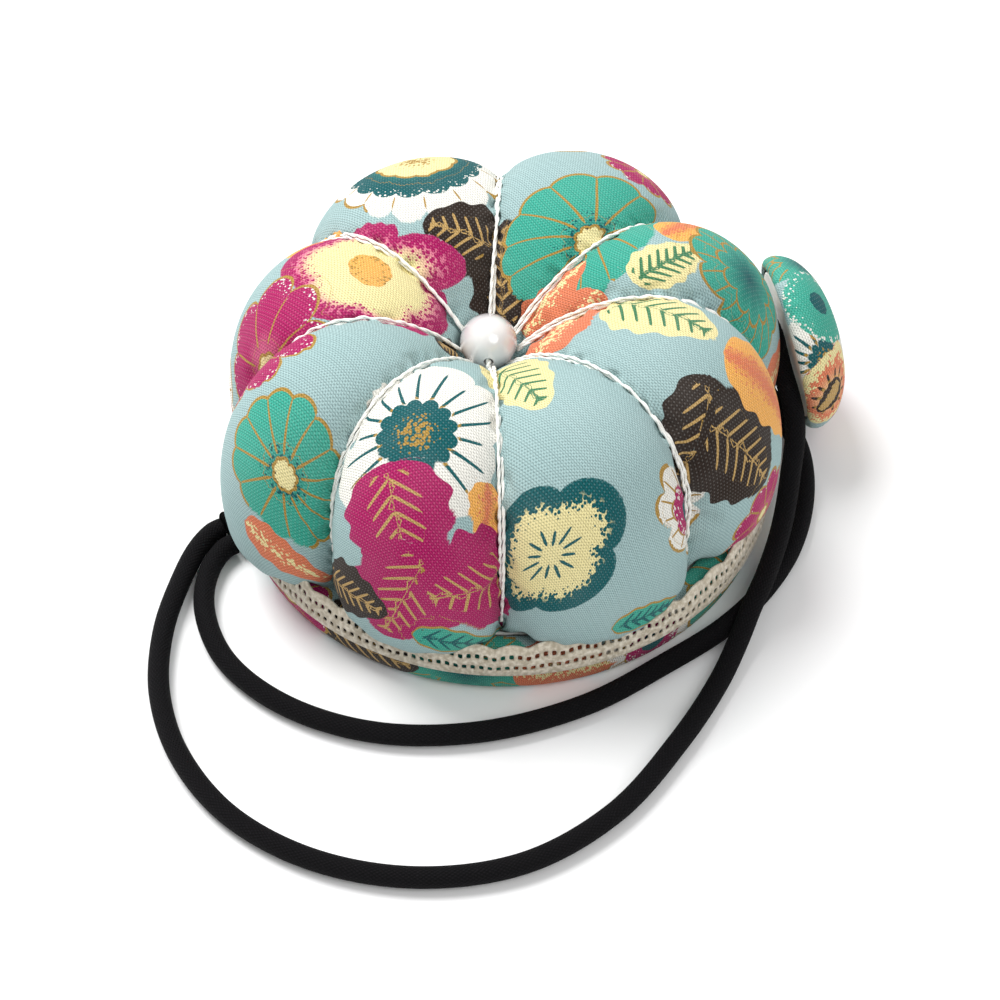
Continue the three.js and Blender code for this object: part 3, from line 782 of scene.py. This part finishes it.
def pucker(cloth, lobe_columns):
    """Small drawn-in folds beside each thread and gathers where the cloth runs under the lace."""
    lobe, column = np.divmod(np.arange(cloth.points.shape[1]), lobe_columns)
    to_thread = np.minimum(column, lobe_columns - column) / lobe_columns * 2
    beside = to_thread * (cloth.girth[:, None] / LOBES / 2)
    out = cloth.out
    wander = np.sin(out / 5.3 + 1.9 * lobe) + 0.6 * np.sin(out / 2.1 + 4.1 * lobe)
    folds = np.sin(2 * math.pi * out / 3.4 + 1.6 * wander + 0.5 * beside)
    strength = 0.3 * np.exp(-((beside - 1.6) / 1.8) ** 2) * np.clip((out - 9) / 12, 0, 1)
    to_hem = np.maximum(out[-1][None, :] - 7 - out, 0)
    gathers = np.sin(59 * cloth.azimuths + 2.2 * np.sin(5 * cloth.azimuths))
    hem_strength = 0.34 * np.exp(-(to_hem / 4.5) ** 2)
    slack = 0.3 * np.sin(out / 8.7 + 2.6 * lobe) * np.sin(3 * cloth.azimuths)
    slack = slack * np.clip(beside / 6, 0, 1) * np.clip(out / 20, 0, 1)
    return cloth.points + cloth.normals() * (folds * strength + gathers * hem_strength + slack)[..., None]


# ---- where the motifs lie ----------------------------------------------------------------------------
# Each is (motif, azimuth in degrees, reach over the cloth from the dimple, radius, turn in degrees).
CUSHION_LAYOUT = (
    ("white_flower", 78, 48, 9, 0), ("magenta_daisy", 55, 43, 6, 30), ("scalloped_disc", 113, 37, 14, 0),
    ("amber_petal", 150, 37, 8, 0), ("dark_leaf", 104, 19, 8, 60), ("dark_leaf", 82, 14, 8, 10),
    ("blush_bloom", 162, 23, 13.5, 0), ("teal_daisy", 43, 24, 13, 0), ("coral_leaf", 356, 15, 8.5, 50),
    ("coral_leaf", 30, 14, 7, 5), ("cream_leaf", 14, 31, 6, 20), ("cream_leaf", 352, 29, 9, -20),
    ("amber_petal", 31, 39, 7, 20), ("teal_fan", 14, 45, 10, 0), ("dark_leaf", 205, 9, 4.5, 20),
    ("magenta_daisy", 189, 40, 12.5, 10), ("teal_daisy", 220, 47, 10.5, 0), ("coral_leaf", 221, 61, 6, 80),
    ("anemone", 247, 34, 14.5, 10), ("amber_petal", 267, 42, 5, 0), ("magenta_leaf", 249, 47, 9, 25),
    ("magenta_leaf", 251, 58, 9, -20), ("magenta_leaf", 266, 53, 10, -65),
    ("dark_leaf", 239, 60, 7, 75), ("green_leaf", 262, 65, 7, 85), ("cream_leaf", 281, 20, 9, 15),
    ("cream_pansy", 280, 49, 11, 30), ("white_flower", 314, 50, 8, 0), ("dark_leaf", 321, 43, 9, -60),
    ("dark_leaf", 330, 50, 9.5, 20), ("amber_petal", 346, 49, 10, 10), ("green_leaf", 300, 66, 6, 90),
    ("magenta_daisy", 335, 66, 7, 0), ("coral_leaf", 8, 61, 7, 80), ("anemone", 30, 60, 9, 0),
    ("teal_daisy", 58, 63, 9, 0), ("dark_leaf", 82, 63, 7, 30), ("blush_bloom", 104, 60, 9, 0),
    ("cream_pansy", 130, 61, 9, 0), ("teal_fan", 150, 56, 9, 0), ("white_flower", 172, 60, 9, 0),
    ("green_leaf", 196, 63, 7, 80),
)
BASE_LAYOUT = (
    ("teal_fan", 262, 53, 9, 0), ("coral_leaf", 284, 53, 8, 85), ("white_flower", 303, 53, 8, 0),
    ("teal_daisy", 326, 53, 9, 0), ("dark_leaf", 240, 53, 8, 85), ("magenta_daisy", 218, 53, 8, 0),
    ("cream_pansy", 348, 53, 8, 0), ("amber_petal", 10, 53, 7, 90), ("scalloped_disc", 32, 53, 9, 0),
    ("green_leaf", 55, 53, 8, 95), ("teal_fan", 78, 53, 9, 0), ("blush_bloom", 102, 53, 9, 0),
    ("anemone", 126, 53, 9, 0), ("coral_leaf", 150, 53, 8, 88), ("white_flower", 172, 53, 9, 0),
    ("green_leaf", 194, 53, 8, 85), ("magenta_daisy", 20, 74, 10, 0), ("teal_daisy", 110, 74, 10, 0),
    ("cream_pansy", 200, 74, 10, 0), ("scalloped_disc", 290, 73, 11, 0), ("anemone", 60, 88, 8, 0),
    ("blush_bloom", 240, 88, 8, 0), ("dark_leaf", 155, 76, 8, 30), ("green_leaf", 335, 76, 8, 10),
)
BUTTON_LAYOUT = (
    ("anemone", 60, 13, 8, 0), ("teal_fan", 334, 12, 7.5, 0), ("teal_spot", 17, 11, 6.3, 0),
    ("coral_bloom", 88, 13, 6.8, 0), ("dark_leaf", 90, 13.5, 3, 30), ("blush_bloom", 148, 10, 6.5, 0),
    ("magenta_daisy", 204, 10, 7, 0), ("dark_leaf", 254, 10, 6, 30), ("teal_daisy", 294, 9, 6.5, 0),
)

SHAPES = {}                            # surfaces that more than one piece follows


# ---- cushion -----------------------------------------------------------------------------------------
def cushion_cloth():
    """The cover's surface, filled and puckered. The threads lie in its grooves."""
    if "cushion" not in SHAPES:
        grid, azimuths = lobed_grid(CUSHION_ROWS, LOBE_COLUMNS, 0.94)
        held = np.zeros(grid.shape[:2], bool)
        held[:, ::LOBE_COLUMNS] = True
        held[[0, 1, -2, -1]] = True
        grid = air_filled(grid, held, pressure=60.0, slack=0.03, frames=20, most=2.0)
        grid, azimuths = finer_lobes(grid, azimuths, FINENESS)
        folded = pucker(ClothGrid(grid, azimuths), LOBE_COLUMNS * FINENESS)
        SHAPES["cushion"] = ClothGrid(folded, azimuths)
    return SHAPES["cushion"]


def make_cover(settings):
    cover = cushion_cloth().piece("printed_cushion_cover", CUSHION_LAYOUT)
    finish_piece(cover, "root", "printed_cotton", "cushion_cover")


def make_filling(settings):
    grid, azimuths = lobed_grid(CUSHION_ROWS, LOBE_COLUMNS, 0.9, shrink=1.8)
    grid, azimuths = finer_lobes(grid, azimuths, 3)
    cloth = ClothGrid(grid, azimuths)
    tufts = 0.25 * np.sin(cloth.out * 1.9 + 3 * np.sin(7 * azimuths)) * np.sin(41 * azimuths + cloth.out)
    filling = ClothGrid(grid + cloth.normals() * tufts[..., None], azimuths).piece("fibre_filling", ())
    finish_piece(filling, "root", "stuffing", "cushion_filling")


def two_ply(path, spread, lay, ply_radius):
    """Paths of a doubled two-ply thread: two strands spread apart, each of two twisted plies."""
    plies = []
    for number, strand in enumerate(twisted(path, 2, spread, lay)):
        plies += twisted(strand, 2, ply_radius * 0.55, 22 * ply_radius, phase=number)
    return plies


THREAD_MIDDLE = (19, 20)               # what the threads are lifted away from, as (distance, height)
THREAD_ENDS = (3.0, 11.5)              # least distance at the bead and least height at the lace


def make_lobe_threads(settings):
    cloth = cushion_cloth()
    strand = settings.thread_radius / MM
    lift, ply = strand * 2.6, strand * 0.62
    step = cloth.points.shape[1] // LOBES
    for lobe in range(LOBES):
        groove = cloth.points[:, lobe * step]
        azimuth = math.radians(LOBE_AZIMUTHS[lobe])
        outwards = np.array([math.cos(azimuth), math.sin(azimuth)])
        reach = groove[:, :2] @ outwards
        away = np.stack([reach, groove[:, 2]], axis=1) - THREAD_MIDDLE
        away /= np.linalg.norm(away, axis=1)[:, None]
        rise = lift * (1 + 0.75 * np.sin(math.pi * np.clip((35 - groove[:, 2:]) / 19, 0, 1)))
        raised = groove + rise * np.column_stack([away[:, :1] * outwards[None, :], away[:, 1:]])
        path, _ = stepped(raised[(reach > THREAD_ENDS[0]) & (groove[:, 2] > THREAD_ENDS[1])], 0.28)
        plies = two_ply(path, 1.6 * ply, 62 + 2 * lobe, ply)
        thread = strand_piece(f"lobe_strands_{lobe + 1}", plies, ply, 6)
        finish_piece(thread, "root", "sewing_thread", f"lobe_thread_{lobe + 1}")


def make_core_thread(settings):
    low, high = box_of("core_thread")
    path, _ = evenly(np.array([[AXIS_SHIFT, 0, low[2]], [AXIS_SHIFT, 0, high[2]]]), 90)
    thread = strand_piece("tufting_strands", two_ply(path, 0.26, 9, 0.13), 0.13)
    finish_piece(thread, "root", "sewing_thread", "core_thread")
    low, high = box_of("core_knot")
    turn = np.linspace(0, 2 * math.pi, 160)
    middle, half = (low[2] + high[2]) / 2, (high[2] - low[2]) / 2
    radius = 0.75 + 0.3 * np.cos(7 * turn)
    coil = np.column_stack([AXIS_SHIFT + radius * np.cos(2 * turn), radius * np.sin(2 * turn),
                            middle + (half - 0.26) * np.sin(7 * turn)])
    knot = strand_piece("tufting_knot", [coil], 0.24)
    finish_piece(knot, "root", "sewing_thread", "core_knot")


# ---- bead --------------------------------------------------------------------------------------------
def solid_from(operator, name, **arguments):
    """The object that one of Blender's primitives made, under a name."""
    bpy.ops.object.select_all(action="DESELECT")
    operator(**arguments)
    piece = bpy.context.view_layer.objects.active
    piece.name = piece.data.name = name
    return piece


def rounded(piece, width, segments):
    """Adds a bevel of a width in millimetres to a piece's edges."""
    edge = piece.modifiers.new("edge", "BEVEL")
    edge.width = width * MM
    edge.segments = segments


def settle(piece):
    """Applies a piece's place and modifiers, so that its object sits at the origin."""
    bpy.ops.object.select_all(action="DESELECT")
    piece.select_set(True)
    bpy.context.view_layer.objects.active = piece
    bpy.ops.object.transform_apply(location=True, rotation=True, scale=True)
    apply_modifiers(piece)


def make_bead(settings):
    centre = Vector(BEAD_CENTRE) * MM
    lying = (math.pi / 2, 0, 0)
    bead = solid_from(bpy.ops.mesh.primitive_uv_sphere_add, "craft_pearl", segments=96, ring_count=64,
                      radius=BEAD_RADIUS * MM, location=centre, rotation=lying)
    drill = solid_from(bpy.ops.mesh.primitive_cylinder_add, "drill", vertices=48, radius=settings.bead_bore,
                       depth=3 * BEAD_RADIUS * MM, location=centre, rotation=lying)
    settle(drill)
    hole = bead.modifiers.new("bore", "BOOLEAN")
    hole.object = drill
    hole.operation = "DIFFERENCE"
    settle(bead)
    bpy.data.objects.remove(drill)
    bpy.ops.object.shade_smooth_by_angle(angle=math.radians(40))
    finish_piece(bead, "bead", "pearl", "pearl_bead")
    side = BEAD_RADIUS + 0.55
    half = [(side - 0.7, 27.6), (side + 0.2, 28.8), (side + 0.1, 30.2), (side - 0.5, 30.9),
            (side - 1.6, 31), (1.5, 31)]
    points = [(AXIS_SHIFT, y, z) for y, z in half] + [(AXIS_SHIFT, -y, z) for y, z in reversed(half)]
    path, _ = stepped(smooth_curve(points), 0.2)
    thread = strand_piece("bead_strands", twisted(path, 2, 0.2, 1.8), 0.2, 8)
    finish_piece(thread, "root", "sewing_thread", "bead_thread")


# ---- lace --------------------------------------------------------------------------------------------
LACE_EYELETS = 204
LACE_ROWS = 14
LACE_RUN = 4                           # columns of the band for one eyelet
LACE_SCALLOP = 4                       # eyelets in one scallop of its edge
EYELET_ROWS = {3: 0, 8: LACE_RUN // 2}   # the first row of each row of eyelets, and its shift in columns


def make_lace(settings):
    """A band of two staggered rows of eyelets with a scalloped upper edge, drawn round the base."""
    columns = LACE_EYELETS * LACE_RUN
    low, high = box_of("lace_trim")
    bottom, top = low[2] + 0.9, high[2]
    radius = (high[0] - low[0]) / 2
    turn = 2 * math.pi * np.arange(columns) / columns
    share = np.arange(LACE_ROWS + 1) / LACE_ROWS
    scallop = np.abs(np.sin(turn * LACE_EYELETS / LACE_SCALLOP / 2))
    wave = 0.35 * np.sin(9 * turn + 1.3 * np.sin(4 * turn)) + 0.25 * np.sin(23 * turn)
    height = bottom + share[:, None] * (top - bottom - 0.5 + 0.9 * scallop + wave)[None, :]
    lean = -settings.lace_lean / MM * share[:, None] ** 2.2
    ripple = 0.16 * np.sin(31 * turn + 2 * np.sin(6 * turn))[None, :] * share[:, None]
    reach = radius - 0.25 + lean + ripple
    points = np.stack([reach * np.cos(turn), reach * np.sin(turn), height], axis=2)
    faces = []
    for number, face in enumerate(grid_faces(LACE_ROWS + 1, columns)):
        row, column = divmod(number, columns)
        shifts = [shift for start, shift in EYELET_ROWS.items() if start <= row < start + 2]
        if not shifts or (column + shifts[0]) % LACE_RUN not in (1, 2):
            faces.append(face)
    lace = mesh_piece("cotton_lace_band", points.reshape(-1, 3), faces)
    thick = lace.modifiers.new("thread", "SOLIDIFY")
    thick.thickness = settings.lace_thickness
    thick.offset = 0
    round_off = lace.modifiers.new("round", "SUBSURF")
    round_off.levels = round_off.render_levels = 1
    apply_modifiers(lace)
    lace.data.polygons.foreach_set("use_smooth", [True] * len(lace.data.polygons))
    finish_piece(lace, "root", "cotton_lace", "lace_trim")


# ---- base --------------------------------------------------------------------------------------------
BASE_SECTION = ((0.6, 0.5), (20, 0.5), (36.2, 0.55), (37.0, 1.2), (37.3, 2.6), (37.3, 6.0), (36.5, 7.2),
                (34.4, 7.5), (34.1, 7.9), (35.4, 8.2), (37.0, 7.7), (38.0, 6.3), (38.25, 4.4), (38.0, 2.3),
                (37.3, 0.75), (35.9, 0.08), (30, 0.0), (18, 0.0), (0.6, 0.0))


def make_base(settings):
    """The cloth cup round the board: inside, over its drawn-in lip, down the side and under it."""
    section, _ = evenly(smooth_curve(BASE_SECTION, 16), 420)
    columns = 640
    turn = 2 * math.pi * np.arange(columns) / columns
    reach, height = section[:, :1], section[:, 1:]
    pleats = np.sin(64 * turn + 2.4 * np.sin(7 * turn)) + 0.5 * np.sin(33 * turn + 1.0)
    drawn = np.clip((height - 3.2) / 4, 0, 1) * np.clip((reach - 33.5) / 1.5, 0, 1)
    reach = np.maximum(reach + 0.16 * pleats * drawn, 0.5)
    height = np.broadcast_to(height, reach.shape)
    points = np.stack([reach * np.cos(turn), reach * np.sin(turn), height], axis=2)
    base = ClothGrid(points, turn).piece("printed_base_cover", BASE_LAYOUT)
    finish_piece(base, "root", "printed_cotton", "base_cover")
    low, high = box_of("gather_thread")
    turn = np.linspace(0, 2 * math.pi, 900)
    radius = (high[0] - low[0]) / 2 - 0.3
    ring = np.column_stack([radius * np.cos(turn), radius * np.sin(turn),
                            (low[2] + high[2]) / 2 + 0.06 * np.sin(90 * turn)])
    stitch = strand_piece("gathering_strands", [ring[:-1]], 0.26)
    finish_piece(stitch, "root", "sewing_thread", "gather_thread")
    for node, slot in (("base_board", "card_board"), ("base_wadding", "stuffing"),
                       ("base_underlay", "stuffing"), ("button_shell", "button_plastic")):
        wear(frame["nodes"][node], slot)


# ---- elastic loop ------------------------------------------------------------------------------------
CORD_DIAMETER = 3.0
CORD_SIDES = 20
TAB = {"azimuth": 194, "facing": 214, "reach": 40, "height": 1.8}
BIGHT = {"reach": 41.8, "height": 12.2, "radius": 6.6}


def tab_point(outward, sideways, height):
    """A point given outwards from the tab's middle and sideways along it."""
    place, face = math.radians(TAB["azimuth"]), math.radians(TAB["facing"])
    return (TAB["reach"] * math.cos(place) + outward * math.cos(face) - sideways * math.sin(face),
            TAB["reach"] * math.sin(place) + outward * math.sin(face) + sideways * math.cos(face), height)


def bight_point(turn):
    """A point on the cord where it rounds the button's stem, from under it (-90) to over it (90)."""
    turn = math.radians(turn)
    cosine, sine = math.cos(STEM_AZIMUTH), math.sin(STEM_AZIMUTH)
    behind = BIGHT["radius"] * math.cos(turn)
    return (BIGHT["reach"] * cosine - behind * sine, BIGHT["reach"] * sine + behind * cosine,
            BIGHT["height"] + BIGHT["radius"] * math.sin(turn))


def cord_route():
    """The loop: out of the tab, round the front, up round the stem, and back by the wide bow in front."""
    floor = CORD_DIAMETER / 2 + 0.1
    front = [(-41.8, -16.6), (-42.2, -23.8), (-38.7, -33.2), (-30, -41.3), (-17.5, -46), (-3, -45.9),
             (11.4, -41.2), (23, -33.6), (31, -27.4), (36.8, -20.8), (41.4, -12.6), (43.8, -3.5)]
    down = [(40.4, 10, 15.8), (42.3, 3.4, 11.2), (41.4, -4, 7.6), (39.7, -12.5, 5.8), (37, -21, 5.1),
            (35.1, -25.4, 4.4), (32.9, -30.6, 2.6)]
    bow = [(30, -37), (24.2, -47.3), (15, -59.6), (3, -67.8), (-11, -70.2), (-25, -67.4), (-36.5, -60.2),
           (-44, -50), (-47.5, -39), (-47.7, -28), (-45.8, -18.6), (-43.8, -12.6)]
    return [tab_point(0.9, 1.8, floor), tab_point(2.4, 1.8, floor), *[(x, y, floor) for x, y in front],
            (44, 5, 1.8), (42, 11.2, 3.1), *[bight_point(turn) for turn in (-90, -30, 30, 90)], *down,
            *[(x, y, floor) for x, y in bow], tab_point(2.4, -1.8, floor), tab_point(0.9, -1.8, floor)]


def make_elastic(settings):
    path, length = stepped(smooth_curve(cord_route(), 24), 0.7)
    points, faces = tube_parts(path, CORD_DIAMETER / 2, CORD_SIDES)
    run, around = np.meshgrid(np.linspace(0, length, len(path)) * CLOTH_UNIT,
                              np.arange(CORD_SIDES) / CORD_SIDES, indexing="ij")
    cord = mesh_piece("round_elastic", points, faces, np.column_stack([around.ravel(), run.ravel()]))
    finish_piece(cord, "root", "black_elastic", "elastic_cord")


def make_tab(settings):
    """Black thread whipped round the two ends of the loop, where they are sewn to the base."""
    turns = 15
    turn = np.linspace(0, 2 * math.pi * turns, turns * 36)
    oval = [np.sign(wave) * np.abs(wave) ** 0.8 for wave in (np.cos(turn), np.sin(turn))]
    sideways = np.linspace(-3.05, 3.05, len(turn))
    path = np.array([tab_point(0.34 * x, side, TAB["height"] + 1.36 * y)
                     for x, y, side in zip(*oval, sideways)])
    whipping = strand_piece("whipped_loop_ends", [path], 0.26, 6)
    bar = solid_from(bpy.ops.mesh.primitive_cube_add, "whipping_core", size=1.0)
    bar.scale = (0.6 * MM, 6.5 * MM, 2.6 * MM)
    bar.location = Vector(tab_point(0, 0, TAB["height"])) * MM
    bar.rotation_euler = (0, 0, math.radians(TAB["facing"]))
    rounded(bar, 0.25, 3)
    settle(bar)
    finish_piece(whipping, "root", "black_elastic", "elastic_tab")
    finish_piece(bar, "root", "black_elastic")


# ---- button ------------------------------------------------------------------------------------------
BUTTON_SECTION = ((0.3, 8.0), (4.5, 7.72), (8.5, 6.6), (11.4, 4.75), (12.7, 2.9), (13.0, 1.5), (12.6, 0.4),
                  (11.8, 0.02), (11.4, 0.3), (12.0, 0.8), (12.4, 1.5), (12.15, 2.6), (10.9, 4.4), (8.1, 6.0),
                  (4.3, 7.05), (0.3, 7.4))


STEM_ROOT = 38.2                       # where the stem leaves the cushion's cover
STEM_LOOP = 2.4                        # between the two sides of the stem's loop


def button_place():
    """Turns a button's own axes, up for X and outwards for Z, into the frame's, in millimetres."""
    outwards = BUTTON_AXIS
    upwards = (Vector((0, 0, 1)) - outwards * outwards.z).normalized()
    forwards = outwards.cross(upwards)
    return np.array([upwards, forwards, outwards]), np.array(BUTTON_SEAT) / MM


def make_button(settings):
    axes, seat = button_place()
    section, _ = evenly(smooth_curve(BUTTON_SECTION, 14), 200)
    columns = 384
    turn = 2 * math.pi * np.arange(columns) / columns
    pleats = np.sin(37 * turn + 2 * np.sin(5 * turn))
    near_rim = np.exp(-((section[:, 0] - 12.2) / 0.9) ** 2) * (section[:, 1] < 2.4) * (section[:, 1] > -0.1)
    outside = np.arange(len(section)) < 0.62 * len(section)
    reach = section[:, :1] + 0.12 * pleats * near_rim[:, None] * outside[:, None]
    height = np.broadcast_to(section[:, 1:], reach.shape)
    local = np.stack([reach * np.cos(turn), reach * np.sin(turn), height], axis=2)
    cover = ClothGrid(local @ axes + seat, turn).piece("printed_button_cover", BUTTON_LAYOUT)
    finish_piece(cover, "button", "printed_cotton", "button_cover")
    upright = BUTTON_AXIS.to_track_quat("Z", "Y").to_euler()
    back = solid_from(bpy.ops.mesh.primitive_cylinder_add, "button_back_plate", vertices=128,
                      radius=11.0 * MM, depth=1.0 * MM, location=BUTTON_SEAT + BUTTON_AXIS * 0.6 * MM,
                      rotation=upright)
    rounded(back, 0.3, 4)
    settle(back)
    bpy.ops.object.shade_smooth_by_angle(angle=math.radians(40))
    finish_piece(back, "button", "button_plastic", "button_back")
    shank = solid_from(bpy.ops.mesh.primitive_torus_add, "wire_shank", major_segments=64, minor_segments=16,
                       major_radius=1.8 * MM, minor_radius=0.45 * MM)
    bpy.ops.object.mode_set(mode="EDIT")
    bpy.ops.mesh.select_all(action="SELECT")
    bpy.ops.mesh.bisect(plane_co=(0, 0, 0), plane_no=(1, 0, 0), use_fill=True, clear_outer=True)
    bpy.ops.object.mode_set(mode="OBJECT")
    upwards = Vector(axes[0].tolist())
    side = upwards.cross(BUTTON_AXIS)
    columns = (BUTTON_AXIS * 1.2, upwards, side, BUTTON_SEAT - BUTTON_AXIS * 0.2 * MM)
    shank.matrix_world = Matrix((*zip(*columns), (0, 0, 0, 1)))
    settle(shank)
    bpy.ops.object.shade_smooth_by_angle(angle=math.radians(50))
    finish_piece(shank, "button", "steel_wire", "button_shank")


def make_stem(settings):
    """The doubled thread from the cushion's side, looped through the shank."""
    low, high = box_of("button_stem_thread")
    outwards = np.array([math.cos(STEM_AZIMUTH), math.sin(STEM_AZIMUTH), 0])
    sideways = np.array([-math.sin(STEM_AZIMUTH), math.cos(STEM_AZIMUTH), 0])
    tip = np.array(BUTTON_SEAT / MM - 2.4 * BUTTON_AXIS) @ outwards
    apart = STEM_LOOP / 2
    flat = [(STEM_ROOT, apart), ((STEM_ROOT + tip) / 2, apart)]
    bend = np.linspace(math.pi / 2, -math.pi / 2, 7)
    flat += [(tip + apart * math.cos(turn), apart * math.sin(turn)) for turn in bend]
    flat += [((STEM_ROOT + tip) / 2, -apart), (STEM_ROOT, -apart)]
    middle = np.array([0, 0, (low[2] + high[2]) / 2])
    points = [outwards * x + sideways * y + middle for x, y in flat]
    path, _ = stepped(smooth_curve(points), 0.15)
    stem = strand_piece("stem_strands", twisted(path, 2, 0.22, 1.7), 0.22, 8)
    finish_piece(stem, "stem", "sewing_thread", "button_stem_thread")


# ---- stage -------------------------------------------------------------------------------------------
LIGHT_TARGET = Vector((0, 0, 0.02))
LIGHTS = (("window_light", (-0.5, 0.45, 1.0), 0.8, "window_power"),
          ("room_light", (0.5, -0.7, 1.1), 0.9, "room_power"))
CAMERA_PLACE, CAMERA_TILT, CAMERA_LENS = (-0.0004, -0.3209, 0.3544), 42, 117.4


def make_stage(settings):
    floor = solid_from(bpy.ops.mesh.primitive_plane_add, "table_top", size=30.0, location=(0, 0, -0.0002))
    settle(floor)
    floor.data.materials.append(table_white())
    for name, place, size, power in LIGHTS:
        light = bpy.data.lights.new(name, "AREA")
        light.shape = "DISK"
        light.size = size
        light.energy = getattr(settings, power)
        lamp = bpy.data.objects.new(name, light)
        bpy.context.collection.objects.link(lamp)
        lamp.location = place
        lamp.rotation_euler = (LIGHT_TARGET - Vector(place)).to_track_quat("-Z", "Y").to_euler()
    world = bpy.data.worlds.new("bright_room")
    world.use_nodes = True
    background = world.node_tree.nodes["Background"]
    background.inputs["Color"].default_value = (1.0, 1.0, 1.0, 1)
    background.inputs["Strength"].default_value = settings.room_brightness
    scene = bpy.context.scene
    scene.world = world
    scene.view_settings.view_transform = "Standard"
    lens = bpy.data.cameras.new("three_quarter_view")
    lens.lens = CAMERA_LENS
    lens.sensor_width = 36
    lens.clip_start = 0.01
    camera = bpy.data.objects.new("three_quarter_view", lens)
    bpy.context.collection.objects.link(camera)
    camera.location = CAMERA_PLACE
    camera.rotation_euler = (math.radians(CAMERA_TILT), 0, 0)
    scene.camera = camera


# ---- settings, operators and panel -------------------------------------------------------------------
class CushionSettings(bpy.types.PropertyGroup):
    """Sizes a maker can change."""
    thread_radius: bpy.props.FloatProperty(
        name="Thread radius", description="Radius of one strand of the doubled thread between lobes",
        default=0.00028, min=0.0001, max=0.0006, unit="LENGTH")
    bead_bore: bpy.props.FloatProperty(
        name="Bead bore", description="Radius of the hole through the bead",
        default=0.0007, min=0.0003, max=0.0012, unit="LENGTH")
    lace_width: bpy.props.FloatProperty(
        name="Lace width", description="Cut width of the lace, part of it tucked in behind the base",
        default=0.0105, min=0.0101, max=0.014, unit="LENGTH")
    lace_thickness: bpy.props.FloatProperty(
        name="Lace thickness", description="Thickness of the lace's threads",
        default=0.00042, min=0.0002, max=0.0008, unit="LENGTH")
    lace_lean: bpy.props.FloatProperty(
        name="Lace lean", description="How far the lace's upper edge leans in over the base's lip",
        default=0.0009, min=0.0, max=0.003, unit="LENGTH")


class StageSettings(bpy.types.PropertyGroup):
    """Light on the table."""
    window_power: bpy.props.FloatProperty(
        name="Window", description="Strength of the light from behind on the left", default=17.0, min=0.0,
        unit="POWER")
    room_power: bpy.props.FloatProperty(
        name="Room", description="Strength of the light from the front", default=6.0, min=0.0, unit="POWER")
    room_brightness: bpy.props.FloatProperty(
        name="Walls", description="Brightness of the white surroundings", default=0.52, min=0.0,
        subtype="FACTOR")


class BuildOperator:
    """What every operator of this add-on shares: it runs its makers with one of the scene's settings."""
    bl_options = {"REGISTER", "UNDO"}
    settings = "pin_cushion"
    makers = ()

    def execute(self, context):
        for maker in self.makers:
            maker(getattr(context.scene, self.settings))
        return {"FINISHED"}


class PINCUSHION_OT_stage(BuildOperator, bpy.types.Operator):
    """Sets the table, the lights and the camera"""
    bl_idname = "pincushion.stage"
    bl_label = "Stage"
    settings = "pin_cushion_stage"
    makers = (make_stage,)


class PINCUSHION_OT_elastic(BuildOperator, bpy.types.Operator):
    """Builds the round elastic loop and the whipping that holds its ends"""
    bl_idname = "pincushion.elastic"
    bl_label = "Elastic loop"
    makers = (make_elastic, make_tab)


class PINCUSHION_OT_cushion(BuildOperator, bpy.types.Operator):
    """Builds the printed cover and the filling under it"""
    bl_idname = "pincushion.cushion"
    bl_label = "Cushion"
    makers = (make_cover, make_filling)


class PINCUSHION_OT_threads(BuildOperator, bpy.types.Operator):
    """Builds the threads between the lobes and through the middle"""
    bl_idname = "pincushion.threads"
    bl_label = "Threads"
    makers = (make_lobe_threads, make_core_thread)


class PINCUSHION_OT_bead(BuildOperator, bpy.types.Operator):
    """Builds the bead and its thread"""
    bl_idname = "pincushion.bead"
    bl_label = "Bead"
    makers = (make_bead,)


class PINCUSHION_OT_base(BuildOperator, bpy.types.Operator):
    """Builds the covered base"""
    bl_idname = "pincushion.base"
    bl_label = "Base"
    makers = (make_base,)


class PINCUSHION_OT_lace(BuildOperator, bpy.types.Operator):
    """Builds the lace round the base"""
    bl_idname = "pincushion.lace"
    bl_label = "Lace"
    makers = (make_lace,)


class PINCUSHION_OT_button(BuildOperator, bpy.types.Operator):
    """Builds the covered button and its stem"""
    bl_idname = "pincushion.button"
    bl_label = "Button"
    makers = (make_button, make_stem)


OPERATORS = (PINCUSHION_OT_stage, PINCUSHION_OT_elastic, PINCUSHION_OT_cushion, PINCUSHION_OT_threads,
             PINCUSHION_OT_bead, PINCUSHION_OT_base, PINCUSHION_OT_lace, PINCUSHION_OT_button)


class PINCUSHION_PT_panel(bpy.types.Panel):
    """Lists what can be built"""
    bl_idname = "PINCUSHION_PT_panel"
    bl_label = "Wrist Pin Cushion"
    bl_space_type = "VIEW_3D"
    bl_region_type = "UI"
    bl_category = "Pin Cushion"

    def draw(self, context):
        layout = self.layout
        for group in (context.scene.pin_cushion, context.scene.pin_cushion_stage):
            column = layout.column(align=True)
            for name in group.__annotations__:
                column.prop(group, name)
        for operator in OPERATORS:
            layout.operator(operator.bl_idname)


CLASSES = (CushionSettings, StageSettings, *OPERATORS, PINCUSHION_PT_panel)


def register():
    for cls in CLASSES:
        bpy.utils.register_class(cls)
    bpy.types.Scene.pin_cushion = bpy.props.PointerProperty(type=CushionSettings)
    bpy.types.Scene.pin_cushion_stage = bpy.props.PointerProperty(type=StageSettings)


def unregister():
    del bpy.types.Scene.pin_cushion_stage
    del bpy.types.Scene.pin_cushion
    for cls in reversed(CLASSES):
        bpy.utils.unregister_class(cls)


def main():
    register()
    bpy.ops.pincushion.stage()
    bpy.ops.pincushion.elastic()
    bpy.ops.pincushion.cushion()
    bpy.ops.pincushion.threads()
    bpy.ops.pincushion.bead()
    bpy.ops.pincushion.base()
    bpy.ops.pincushion.lace()
    bpy.ops.pincushion.button()


if __name__ == "__main__":
    main()
